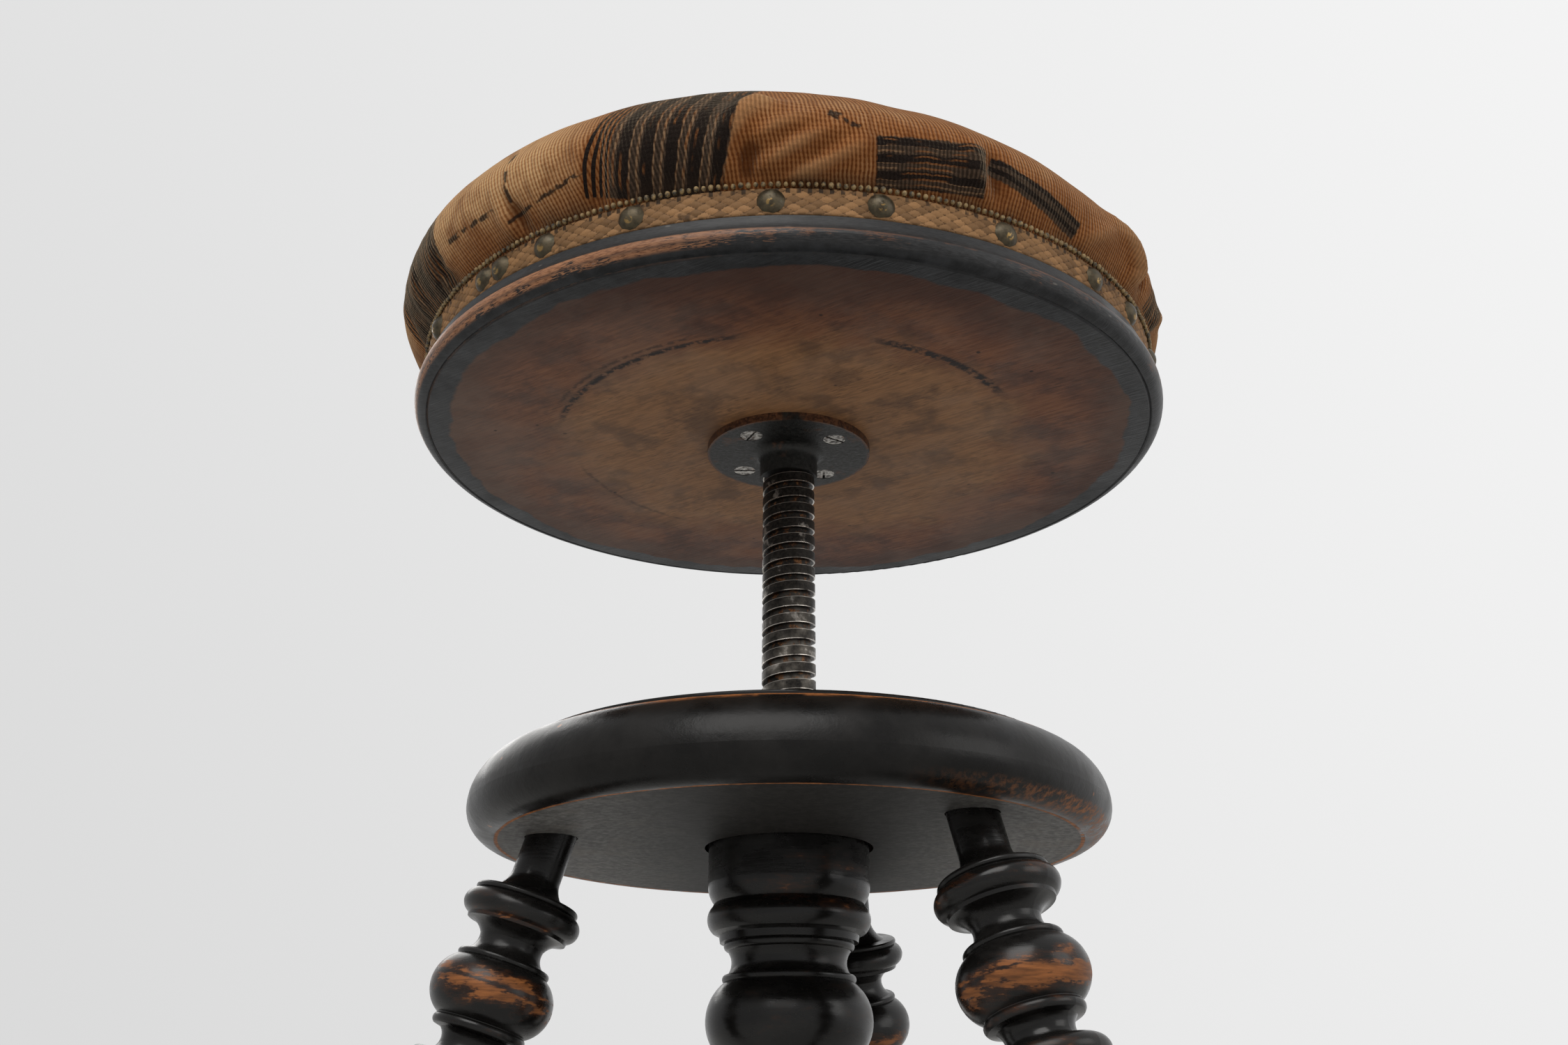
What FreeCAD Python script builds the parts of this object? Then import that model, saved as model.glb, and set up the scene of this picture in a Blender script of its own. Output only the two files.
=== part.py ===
import FreeCAD, Part
import math
import os
import re
import Sketcher

# Revolving piano stool: a turned tripod base that holds a threaded nut, a steel screw
# spindle, and a round seat board with a domed, nailed cushion.
# Millimetres. The origin is on the floor, on the spindle's axis, with +Z up.

SIZES = {
    # Heights above the floor, and the seat's height over the base plate in its first pose
    "plate_height": 360.0,
    "seat_rest_height": 184.8,
    "stretcher_height": 149.0,
    # Seat board, its heights measured from its underside
    "board_radius": 170.0,
    "board_edge_height": 15.0,
    "board_flat_margin_width": 6.6,
    "board_quirk_depth": 0.8,
    "bead_height": 8.0,
    "bead_width": 5.0,
    "bead_middle_height": 5.6,
    "bead_lap_width": 0.55,
    "band_foot_width": 1.4,
    "band_top_width": 3.6,
    "band_hollow_depth": 3.1,
    "board_ledge_width": 8.2,
    # Upholstery: how far its outline is from the board's edge, and its heights over the board
    "belly_overhang_width": 7.0,
    "belly_height": 22.8,
    "shoulder_inset_width": 2.0,
    "shoulder_height": 39.8,
    "shoulder_fullness_height": 1.36,
    "dome_inset_width": 30.0,
    "dome_height": 52.3,
    "crown_height": 65.3,
    "cover_thickness": 1.6,
    "soft_gap": 0.3,
    "gimp_height": 13.2,
    "gimp_thickness": 2.2,
    "gimp_gap": 0.15,
    # Domed nails and cover tacks
    "nail_head_radius": 5.3,
    "nail_head_height": 2.9,
    "nail_shank_radius": 0.9,
    "nail_shank_length": 12.0,
    "tack_head_radius": 2.6,
    "tack_head_height": 0.7,
    "tack_shank_radius": 0.6,
    "tack_shank_length": 8.0,
    # Iron flange under the seat and its wood screws
    "flange_radius": 37.5,
    "flange_thickness": 3.6,
    "hub_wall_thickness": 3.8,
    "hub_length": 12.0,
    "hub_fillet_radius": 4.0,
    "rivet_lap_width": 1.5,
    "rivet_depth": 1.7,
    "flange_screw_inset_width": 10.8,
    "flange_screw_turn": 6.0,
    "screw_head_radius": 5.0,
    "screw_head_depth": 2.8,
    "screw_shank_radius": 2.4,
    "screw_length": 17.0,
    "screw_slot_width": 1.1,
    "screw_slot_depth": 1.0,
    # Screw spindle with its square thread. A groove crosses +X at this height over the plate
    "crest_radius": 11.8,
    "thread_depth": 2.2,
    "thread_pitch": 7.5,
    "groove_width": 3.0,
    "groove_mark_height": 73.7,
    "shank_relief_depth": 0.2,
    "spindle_length": 222.8,
    "journal_radius": 5.0,
    # Stop washer and stop screw at the spindle's lower end
    "washer_lap_width": 2.7,
    "washer_thickness": 3.0,
    "washer_play_gap": 0.2,
    "stop_head_lap_width": 3.5,
    "stop_head_height": 3.5,
    "stop_shank_radius": 3.4,
    "stop_shank_length": 14.0,
    # Threaded nut let into the plate
    "nut_wall_thickness": 5.2,
    "nut_barrel_length": 30.0,
    "nut_flange_thickness": 3.5,
    "nut_flange_rim_width": 0.5,
    "thread_gap": 0.35,
    "fit_gap": 0.15,
    # Base plate, its heights measured from its underside
    "plate_radius": 133.0,
    "plate_widest_height": 12.0,
    "plate_flat_inset_width": 13.3,
    "plate_rim_height": 32.5,
    "plate_rim_inset_width": 14.0,
    "plate_step_inset_width": 19.0,
    "plate_step_height": 3.0,
    "plate_step_edge_radius": 0.8,
    "post_recess_gap": 1.7,
    "post_recess_depth": 6.0,
    "post_tenon_wall_thickness": 7.8,
    "post_bore_gap": 1.0,
    "post_bore_depth": 180.0,
    "leg_inset_width": 34.4,
    "leg_splay": 17.2,
    "leg_azimuth": 73.8,
    "leg_tenon_length": 25.0,
    "leg_hole_gap": 0.35,
    "foot_allowance_length": 8.0,
    # Stretchers and finial
    "stretcher_tenon_radius": 6.5,
    "stretcher_tenon_length": 11.0,
    "finial_tenon_radius": 9.0,
    "finial_tenon_length": 19.0,
}

# Sizes that follow from those above, so that what fits together stays together
TIED = {
    "seat_underside": "plate_height + seat_rest_height",
    "plinth_radius": "board_radius - board_ledge_width",
    "plinth_top": "board_edge_height + gimp_height",
    "gimp_inner_radius": "plinth_radius + fit_gap + cover_thickness + gimp_gap",
    "gimp_outer_radius": "gimp_inner_radius + gimp_thickness",
    "belly_radius": "board_radius + belly_overhang_width",
    "shoulder_radius": "board_radius - shoulder_inset_width",
    "dome_radius": "board_radius - dome_inset_width",
    "root_radius": "crest_radius - thread_depth",
    "shank_radius": "root_radius - shank_relief_depth",
    "hub_radius": "shank_radius + hub_wall_thickness",
    "flange_screw_circle": "flange_radius - flange_screw_inset_width",
    "spindle_end": "seat_underside - spindle_length",
    "journal_length": "washer_thickness + 2 * washer_play_gap",
    "washer_radius": "crest_radius + washer_lap_width",
    "stop_head_radius": "journal_radius + stop_head_lap_width",
    "nut_barrel_radius": "crest_radius + nut_wall_thickness",
    "post_tenon_radius": "nut_barrel_radius + post_tenon_wall_thickness",
    "nut_screw_circle": "post_tenon_radius + screw_shank_radius + soft_gap",
    "nut_flange_radius": "nut_screw_circle + screw_head_radius + nut_flange_rim_width",
    "plate_flat_radius": "plate_radius - plate_flat_inset_width",
    "plate_rim_radius": "plate_radius - plate_rim_inset_width",
    "plate_step_radius": "plate_radius - plate_step_inset_width",
    "plate_top": "plate_height + plate_rim_height + plate_step_height",
    "nut_seat": "plate_top - nut_flange_thickness",
    "nut_foot": "nut_seat - nut_barrel_length",
    "post_recess_radius": "post_drum_foot_radius + post_recess_gap",
    "post_bore_radius": "washer_radius + post_bore_gap",
    "leg_circle": "plate_radius - leg_inset_width",
    "leg_reach": "leg_circle + (plate_height - stretcher_height) * tan(leg_splay)",
}

LEG_COUNT = 3
FLANGE_SCREW_COUNT = 4
NUT_SCREW_COUNT = 3

# Bearings of the screws' slots, as the last turn of the screwdriver left them
FLANGE_SLOT_ANGLES = (88.0, 0.0, -66.0, 36.0)
NUT_SLOT_ANGLES = (25.0, 75.0, 125.0)

# Bearings of the domed nails, driven by eye, so no two gaps are alike
NAIL_ANGLES = (
    -153.6, -137.6, -133.6, -124.8, -111.0, -92.4, -78.2, -60.1,
    -42.5, -31.0, -16.0, 0.5, 15.0, 31.5, 47.0, 64.0,
    79.0, 94.5, 111.0, 126.5, 142.0, 158.0, 173.5, 190.0,
)

# Each turning is a row of stations: name, datum, distance from the datum, radius.
# A name ending in _round is a point that a curve passes through.
# Distances run down from the plate and the stretchers, and up from the floor.
LEG_TURNING = (
    ("neck_end", "plate", 15.5, 9.85),
    ("flare_round", "plate", 21.8, 11.5),
    ("flare_end", "plate", 25.2, 15.4),
    ("collar_top", "plate", 25.4, 20.2),
    ("collar_round", "plate", 26.6, 20.9),
    ("collar_foot", "plate", 27.8, 20.2),
    ("torus_top", "plate", 28.3, 21.2),
    ("torus_round", "plate", 32.6, 23.6),
    ("torus_foot", "plate", 36.8, 21.0),
    ("step_top", "plate", 37.2, 20.3),
    ("step_foot", "plate", 38.6, 20.0),
    ("cyma_round", "plate", 40.4, 15.2),
    ("cyma_foot", "plate", 43.2, 12.9),
    ("cove_round", "plate", 47.2, 13.1),
    ("cove_foot", "plate", 50.4, 15.8),
    ("fillet_top", "plate", 50.7, 17.7),
    ("fillet_round", "plate", 51.9, 18.4),
    ("fillet_foot", "plate", 53.1, 17.9),
    ("ball_round", "plate", 64.6, 24.1),
    ("ball_foot", "plate", 75.6, 17.6),
    ("under_top", "plate", 75.9, 17.5),
    ("under_round", "plate", 77.7, 18.3),
    ("under_foot", "plate", 79.5, 17.4),
    ("hollow_top", "plate", 80.2, 14.4),
    ("hollow_round", "plate", 84.2, 12.5),
    ("hollow_foot", "plate", 88.4, 14.4),
    ("ring_top", "plate", 89.0, 19.8),
    ("ring_round", "plate", 93.2, 22.4),
    ("ring_foot", "plate", 97.4, 19.8),
    ("quirk", "plate", 98.0, 16.8),
    ("vase_top", "plate", 103.0, 13.4),
    ("vase_round", "plate", 140.0, 19.4),
    ("vase_foot", "stretcher", -29.0, 12.4),
    ("girdle_neck", "stretcher", -23.0, 12.4),
    ("girdle_top", "stretcher", -20.6, 16.4),
    ("girdle_round", "stretcher", -18.8, 17.4),
    ("girdle_foot", "stretcher", -17.0, 16.2),
    ("knop_round", "stretcher", 0.0, 20.5),
    ("knop_foot", "stretcher", 17.0, 16.2),
    ("tie_round", "stretcher", 18.8, 17.4),
    ("tie_foot", "stretcher", 20.6, 16.4),
    ("tie_neck", "stretcher", 23.0, 12.0),
    ("taper_top", "stretcher", 30.0, 11.6),
    ("taper_round", "floor", 84.0, 16.2),
    ("taper_foot", "floor", 38.0, 10.8),
    ("ankle_top", "floor", 36.0, 14.4),
    ("ankle_round", "floor", 34.2, 15.2),
    ("ankle_foot", "floor", 32.4, 14.4),
    ("foot_top", "floor", 29.0, 11.6),
    ("foot_round", "floor", 14.0, 16.6),
)
FOOT_RADIUS = 11.6

POST_TURNING = (
    ("drum_foot", "plate", 15.2, 33.4),
    ("groove_round", "plate", 19.6, 32.7),
    ("groove", "plate", 22.9, 30.8),
    ("torus_top", "plate", 24.4, 31.6),
    ("torus_round", "plate", 29.1, 33.5),
    ("torus_foot", "plate", 34.4, 31.2),
    ("step_top", "plate", 35.6, 28.6),
    ("step_foot", "plate", 38.3, 28.2),
    ("bead_top", "plate", 38.6, 26.3),
    ("bead_round", "plate", 40.2, 26.5),
    ("bead_foot", "plate", 41.6, 25.0),
    ("cove_round", "plate", 46.3, 23.4),
    ("cove_foot", "plate", 50.9, 25.0),
    ("fillet_top", "plate", 51.2, 26.5),
    ("fillet_round", "plate", 52.6, 27.1),
    ("fillet_foot", "plate", 54.0, 26.5),
    ("ball_round", "plate", 68.5, 33.6),
    ("ball_foot", "plate", 83.4, 26.4),
    ("under_top", "plate", 83.8, 26.6),
    ("under_round", "plate", 85.4, 27.3),
    ("under_foot", "plate", 87.0, 26.4),
    ("hollow_top", "plate", 87.6, 24.6),
    ("hollow_round", "plate", 94.0, 22.6),
    ("hollow_foot", "plate", 100.4, 24.6),
    ("ring_top", "plate", 101.0, 27.0),
    ("ring_round", "plate", 104.8, 29.4),
    ("ring_foot", "plate", 108.6, 27.0),
    ("quirk", "plate", 109.4, 24.6),
    ("vase_top", "plate", 112.4, 23.8),
    ("vase_round", "plate", 138.0, 28.2),
    ("vase_foot", "stretcher", -27.0, 21.0),
    ("hoop_neck", "stretcher", -16.2, 21.0),
    ("hoop_top", "stretcher", -15.4, 25.6),
    ("hoop_round", "stretcher", -13.6, 26.6),
    ("hoop_foot", "stretcher", -11.8, 25.0),
    ("band_foot", "stretcher", 11.8, 25.0),
    ("base_round", "stretcher", 13.6, 26.6),
    ("base_ring", "stretcher", 15.4, 25.6),
    ("base_foot", "stretcher", 20.0, 19.6),
    ("base_end", "stretcher", 22.0, 18.8),
)

FINIAL_TURNING = (
    ("shoulder", "post", 0.1, 16.2),
    ("shoulder_round", "post", 1.9, 17.1),
    ("shoulder_foot", "post", 3.7, 16.2),
    ("cove_top", "post", 4.3, 12.4),
    ("cove_round", "post", 8.4, 10.4),
    ("cove_foot", "post", 12.5, 12.2),
    ("ball_round", "post", 25.0, 18.0),
    ("ball_foot", "post", 38.4, 9.6),
    ("fillet_top", "post", 38.8, 10.4),
    ("fillet_round", "post", 40.3, 11.1),
    ("fillet_foot", "post", 41.8, 10.2),
    ("button_top", "post", 42.4, 7.4),
)
FINIAL_LENGTH = 53.5

# Stretcher stations run outward, from the face of the post and in from the middle of the leg
STRETCHER_TURNING = (
    ("inner_neck", "post", 5.0, 6.5),
    ("inner_ring", "post", 6.0, 9.0),
    ("inner_ring_round", "post", 7.8, 9.8),
    ("inner_ring_foot", "post", 9.6, 9.0),
    ("inner_quirk", "post", 10.4, 7.2),
    ("swell_round", "middle", 0.0, 11.2),
    ("outer_quirk", "leg", -31.4, 7.2),
    ("outer_ring", "leg", -30.6, 9.0),
    ("outer_ring_round", "leg", -28.8, 9.8),
    ("outer_ring_foot", "leg", -27.0, 9.0),
    ("outer_neck", "leg", -26.0, 6.5),
)

doc = FreeCAD.newDocument("PianoStool")
sheet = doc.addObject("Spreadsheet::Sheet", "Sizes")


def write_sizes():
    """Fill the sheet: one row for each size and two for each station of a turning."""
    rows = dict(SIZES)
    rows["leg_foot_radius"] = FOOT_RADIUS
    rows["finial_length"] = FINIAL_LENGTH
    turnings = {
        "leg": LEG_TURNING,
        "post": POST_TURNING,
        "finial": FINIAL_TURNING,
        "stretcher": STRETCHER_TURNING,
    }
    for piece, stations in turnings.items():
        for name, _, distance, radius in stations:
            rows[f"{piece}_{name}_at"] = distance
            rows[f"{piece}_{name}_radius"] = radius
    for row, (name, value) in enumerate(rows.items(), start=1):
        sheet.set(f"A{row}", name)
        sheet.set(f"B{row}", str(value))
        sheet.setAlias(f"B{row}", name)
    doc.recompute()
    return rows


ROWS = write_sizes()


def bound(expression):
    """The expression as the sheet's own cells: a tied size becomes what it follows from."""
    def cell(word):
        name = word[0]
        if name in TIED:
            return f"({bound(TIED[name])})"
        return f"Sizes.{name}" if name in ROWS else name

    return re.sub(r"[a-z]\w*", cell, expression)


def size(expression):
    """What an expression of aliases comes to, as a plain number."""
    return float(sheet.evalExpression(bound(expression)))


def origin_feature(body, role):
    return next(feature for feature in body.Origin.OriginFeatures if feature.Role == role)


def arc_middle(start, end, shape):
    """The middle point of a curved stretch of an outline."""
    kind = shape[0]
    if kind == "through":
        return size(shape[1]), size(shape[2])
    if kind == "level":
        level = size(shape[1])
        across = end[0] ** 2 - start[0] ** 2 + (end[1] - level) ** 2 - (start[1] - level) ** 2
        centre = (across / (2 * (end[0] - start[0])), level)
    else:
        rise = end[0] ** 2 - start[0] ** 2 + end[1] ** 2 - start[1] ** 2
        centre = (0.0, rise / (2 * (end[1] - start[1])))
    middle = ((start[0] + end[0]) / 2 - centre[0], (start[1] + end[1]) / 2 - centre[1])
    reach = math.hypot(start[0] - centre[0], start[1] - centre[1]) / math.hypot(*middle)
    return centre[0] + middle[0] * reach, centre[1] + middle[1] * reach


def lathe_sketch(body, name, outline):
    """A closed half section in the XZ plane, with every point bound to the sheet.

    Each entry is (radius, height), with the shape of the stretch that ends there after it
    where that stretch is curved: ("through", radius, height) passes through a point,
    ("level", height) has its centre at that height, and ("dome",) has it on the axis.
    """
    sketch = body.newObject("Sketcher::SketchObject", name)
    sketch.AttachmentSupport = [(origin_feature(body, "XZ_Plane"), "")]
    sketch.MapMode = "FlatFace"
    points = [(size(entry[0]), size(entry[1])) for entry in outline]
    lines = []
    ends = []
    marks = []
    rules = []
    bindings = []

    def bind(kind, geometry, position, value, label, expression):
        bindings.append((len(rules), label, bound(expression)))
        rules.append(Sketcher.Constraint(kind, -1, 1, geometry, position, value))

    for i, entry in enumerate(outline):
        start = FreeCAD.Vector(*points[i - 1], 0)
        end = FreeCAD.Vector(*points[i], 0)
        if len(entry) > 2:
            middle = FreeCAD.Vector(*arc_middle(points[i - 1], points[i], entry[2]), 0)
            lines.append(Part.Arc(start, middle, end))
            clockwise = (middle - start).cross(end - middle).z < 0
            ends.append((2, 1) if clockwise else (1, 2))
        else:
            lines.append(Part.LineSegment(start, end))
            ends.append((1, 2))
    count = len(outline)
    for i, entry in enumerate(outline):
        after = (i + 1) % count
        rules.append(Sketcher.Constraint("Coincident", i, ends[i][1], after, ends[after][0]))
        if entry[0] == "0":
            rules.append(Sketcher.Constraint("PointOnObject", i, ends[i][1], -2))
        else:
            bind("DistanceX", i, ends[i][1], points[i][0], f"radius{i}", entry[0])
        bind("DistanceY", i, ends[i][1], points[i][1], f"height{i}", entry[1])
        kind = entry[2][0] if len(entry) > 2 else "straight"
        if kind == "level":
            bind("DistanceY", i, 3, size(entry[2][1]), f"centre{i}", entry[2][1])
        elif kind == "dome":
            rules.append(Sketcher.Constraint("PointOnObject", i, 3, -2))
        elif kind == "through":
            through = size(entry[2][1]), size(entry[2][2])
            mark = count + len(marks)
            marks.append(Part.Point(FreeCAD.Vector(*through, 0)))
            rules.append(Sketcher.Constraint("PointOnObject", mark, 1, i))
            bind("DistanceX", mark, 1, through[0], f"bulge{i}", entry[2][1])
            bind("DistanceY", mark, 1, through[1], f"rise{i}", entry[2][2])
    sketch.addGeometry(lines, False)
    sketch.addGeometry(marks, True)
    sketch.addConstraint(rules)
    for index, label, expression in bindings:
        sketch.renameConstraint(index, label)
        sketch.setExpression(f"Constraints.{label}", expression)
    return sketch


def turned(label, outline):
    """A body turned about its own Z axis."""
    body = doc.addObject("PartDesign::Body", label)
    body.Label = label
    section = lathe_sketch(body, label + "_section", outline)
    turning = body.newObject("PartDesign::Revolution", label + "_turning")
    turning.Profile = section
    turning.ReferenceAxis = (section, ["V_Axis"])
    turning.Angle = 360
    return body


def stations(piece, rows, datums):
    """Outline entries for a row of stations, each height measured from its datum."""
    outline = []
    through = None
    for name, datum, _, _ in rows:
        base, sign = datums[datum]
        radius = f"{piece}_{name}_radius"
        height = f"{base} {sign} {piece}_{name}_at"
        if name.endswith("_round"):
            through = ("through", radius, height)
        elif through:
            outline.append((radius, height, through))
            through = None
        else:
            outline.append((radius, height))
    return outline, through


def combined(kind, label, base, tool):
    """A boolean of two objects, under the node's own label."""
    result = doc.addObject(kind, label)
    result.Base = base
    result.Tool = tool
    result.Label = label
    return result


def rod(name, radius, length, placement):
    """A plain cylinder, used to bore holes."""
    cylinder = doc.addObject("Part::Cylinder", name)
    cylinder.setExpression("Radius", bound(radius))
    cylinder.setExpression("Height", bound(length))
    cylinder.Placement = placement
    return cylinder


def fused(name, tools):
    fusion = doc.addObject("Part::MultiFuse", name)
    fusion.Shapes = tools
    return fusion


def group(label, shape, placements):
    """One node that holds a copy of a shape at each placement."""
    feature = doc.addObject("Part::Feature", label)
    feature.Label = label
    copies = []
    for placement in placements:
        copy = shape.copy()
        copy.Placement = placement.multiply(copy.Placement)
        copies.append(copy)
    feature.Shape = Part.Compound(copies)
    return feature


def on_circle(radius, azimuth, height=0.0):
    """A point on a circle about the axis."""
    angle = math.radians(azimuth)
    return FreeCAD.Vector(radius * math.cos(angle), radius * math.sin(angle), height)


def about_z(angle):
    return FreeCAD.Rotation(FreeCAD.Vector(0, 0, 1), angle)


def radial(radius, azimuth, height):
    """A placement on a circle about the axis, with its own Z pointing outward."""
    outward = FreeCAD.Rotation(FreeCAD.Vector(0, 1, 0), 90)
    return FreeCAD.Placement(on_circle(radius, azimuth, height), about_z(azimuth).multiply(outward))


def leg_azimuth(index):
    return size("leg_azimuth") + 360 / LEG_COUNT * index


def leg_placement(index):
    """The leg's own frame: its origin where its axis meets the floor, its Z up the leg."""
    azimuth = leg_azimuth(index)
    reach = size("leg_circle + plate_height * tan(leg_splay)")
    lean = FreeCAD.Rotation(FreeCAD.Vector(0, 1, 0), -size("leg_splay"))
    return FreeCAD.Placement(on_circle(reach, azimuth), about_z(azimuth).multiply(lean))


def seat(offset):
    """A height above the seat board's underside."""
    return f"seat_underside + {offset}"


def board_top(offset):
    """A height above the seat board's top, where the upholstery starts."""
    return f"seat_underside + plinth_top + {offset}"


def plate(offset):
    """A height above the base plate's underside."""
    return f"plate_height + {offset}"


# Seat board and upholstery

def make_seat_board():
    margin = "board_radius - board_flat_margin_width"
    bead_inner = "board_radius - bead_width"
    return turned("seat_board", [
        ("0", seat("0")),
        (margin, seat("0")),
        (f"({margin} + {bead_inner}) / 2", seat("board_quirk_depth")),
        (bead_inner, seat("fit_gap")),
        ("board_radius", seat("bead_middle_height"), ("level", seat("bead_middle_height"))),
        ("board_radius - bead_lap_width", seat("bead_height"), ("level", seat("bead_middle_height"))),
        ("board_radius - band_foot_width", seat("bead_height + fit_gap")),
        ("board_radius - band_top_width", seat("board_edge_height"),
         ("through", "board_radius - band_hollow_depth", seat("(bead_height + board_edge_height) / 2"))),
        ("plinth_radius", seat("board_edge_height")),
        ("plinth_radius", board_top("0")),
        ("0", board_top("0")),
    ])


def cushion_skin(inset):
    """The cushion's outline from its belly over its crown, drawn in by an inset."""
    shoulder = (f"shoulder_radius - 0.56 * {inset}", board_top(f"shoulder_height - 0.83 * {inset}"))
    dome = (f"dome_radius - 0.2 * {inset}", board_top(f"dome_height - 0.98 * {inset}"))
    lean = "atan2(dome_height - shoulder_height; shoulder_radius - dome_radius)"
    full = (
        f"({shoulder[0]} + {dome[0]}) / 2 + shoulder_fullness_height * sin({lean})",
        f"({shoulder[1]} + {dome[1]}) / 2 + shoulder_fullness_height * cos({lean})",
    )
    return [
        (f"belly_radius - {inset}", board_top("belly_height"), ("level", board_top("belly_height"))),
        (*shoulder, ("level", board_top("belly_height"))),
        (*dome, ("through", *full)),
        ("0", board_top(f"crown_height - {inset}"), ("dome",)),
    ]


def make_cushion_cover():
    inner = "plinth_radius + fit_gap"
    outer = "plinth_radius + fit_gap + cover_thickness"
    hem = seat("board_edge_height + soft_gap")
    outside = cushion_skin("0")
    inside = cushion_skin("cover_thickness")
    lining = [inside[3][:2]]
    for before, entry in zip(reversed(inside), reversed(inside[:3])):
        lining.append((*entry[:2], before[2]))
    lining.append((inner, board_top("cover_thickness"), inside[0][2]))
    return turned("cushion_cover", [
        (inner, hem),
        (outer, hem),
        (outer, board_top("soft_gap")),
        *outside,
        *lining,
    ])


def make_cushion_stuffing():
    floor = board_top("soft_gap")
    return turned("cushion_stuffing", [
        ("0", floor),
        ("plinth_radius - soft_gap", floor),
        ("plinth_radius - soft_gap", f"{floor} + cover_thickness"),
        *cushion_skin("(cover_thickness + soft_gap)"),
    ])


def make_gimp_braid():
    foot = seat("board_edge_height + fit_gap")
    return turned("gimp_braid", [
        ("gimp_inner_radius", foot),
        ("gimp_outer_radius", foot),
        ("gimp_outer_radius", board_top("0")),
        ("gimp_inner_radius", board_top("0")),
    ])


def make_gimp_nails():
    dome = turned("gimp_nail", [
        ("0", "-nail_shank_length"),
        ("nail_shank_radius", "-nail_shank_length + nail_shank_radius * 2"),
        ("nail_shank_radius", "0"),
        ("nail_head_radius", "0"),
        ("0", "nail_head_height", ("dome",)),
    ])
    doc.recompute()
    face = size("gimp_outer_radius")
    height = size(board_top("-gimp_height / 2"))
    return group("gimp_nails", dome.Shape, [radial(face, angle, height) for angle in NAIL_ANGLES])


def make_cover_tacks():
    tack = turned("cover_tack", [
        ("0", "-tack_shank_length"),
        ("tack_shank_radius", "-tack_shank_length + tack_shank_radius * 2"),
        ("tack_shank_radius", "-tack_head_height"),
        ("tack_head_radius", "-tack_head_height"),
        ("tack_head_radius", "0"),
        ("0", "0"),
    ])
    doc.recompute()
    face = size("plinth_radius + fit_gap + cover_thickness")
    height = size(board_top("-gimp_height / 2"))
    following = NAIL_ANGLES[1:] + (NAIL_ANGLES[0] + 360,)
    angles = [(nail + after) / 2 for nail, after in zip(NAIL_ANGLES, following)]
    return group("cover_tacks", tack.Shape, [radial(face, angle, height) for angle in angles])


# Spindle, its flange and its stop

def make_spindle():
    shoulder = "seat_underside - flange_thickness - hub_length"
    rivet = "seat_underside - rivet_depth"
    spindle = turned("spindle", [
        ("stop_shank_radius + fit_gap", "spindle_end"),
        ("journal_radius", "spindle_end"),
        ("journal_radius", "spindle_end + journal_length"),
        ("crest_radius", "spindle_end + journal_length"),
        ("crest_radius", shoulder),
        ("shank_radius", shoulder),
        ("shank_radius", rivet),
        ("shank_radius + rivet_lap_width", "seat_underside - fit_gap"),
        ("0", "seat_underside - fit_gap"),
        ("0", "spindle_end + stop_shank_length + soft_gap"),
        ("stop_shank_radius + fit_gap", "spindle_end + stop_shank_length + soft_gap"),
    ])
    helical_cut(
        spindle, "thread_groove",
        inner="root_radius",
        outer="crest_radius + thread_depth",
        width="groove_width",
        start=first_groove("spindle_end", 0.0),
        length=f"{shoulder} - spindle_end + 3 * thread_pitch",
    )
    return spindle


def first_groove(below, phase):
    """The first height under a level where a groove at this phase crosses the +X side."""
    pitch = size("thread_pitch")
    known = size("plate_height + groove_mark_height") + phase * pitch
    turns = math.ceil((known - size(below)) / pitch) + 1
    return f"plate_height + groove_mark_height + ({phase} - {turns}) * thread_pitch"


def helical_cut(body, name, inner, outer, width, start, length):
    """Cut a right-handed square groove up a body, centred on its start height at +X."""
    sketch = lathe_sketch(body, name + "_section", [
        (inner, f"{start} - {width} / 2"),
        (outer, f"{start} - {width} / 2"),
        (outer, f"{start} + {width} / 2"),
        (inner, f"{start} + {width} / 2"),
    ])
    cut = body.newObject("PartDesign::SubtractiveHelix", name)
    cut.Profile = sketch
    cut.ReferenceAxis = (origin_feature(body, "Z_Axis"), [""])
    cut.Mode = 0
    cut.setExpression("Pitch", bound("thread_pitch"))
    cut.setExpression("Height", bound(length))
    cut.LeftHanded = 0
    cut.Reversed = 0
    return cut


def countersinks(name, places, face, facing):
    """Tools that bore a countersunk screw hole at each place, opening towards facing."""
    tools = []
    turn = FreeCAD.Rotation(FreeCAD.Vector(1, 0, 0), 0 if facing > 0 else 180)
    for i, (x, y) in enumerate(places):
        base = FreeCAD.Vector(x, y, face - facing * size("screw_head_depth"))
        cone = doc.addObject("Part::Cone", f"{name}_sink_{i}")
        cone.setExpression("Radius1", bound("screw_shank_radius + fit_gap"))
        cone.setExpression("Radius2", bound("screw_head_radius + fit_gap"))
        cone.setExpression("Height", bound("screw_head_depth"))
        cone.Placement = FreeCAD.Placement(base, turn)
        through = FreeCAD.Vector(x, y, face - facing * size("flange_thickness * 2"))
        hole = rod(f"{name}_hole_{i}", "screw_shank_radius + fit_gap", "flange_thickness * 2",
                   FreeCAD.Placement(through, turn))
        tools += [cone, hole]
    return fused(name + "_holes", tools)


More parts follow.
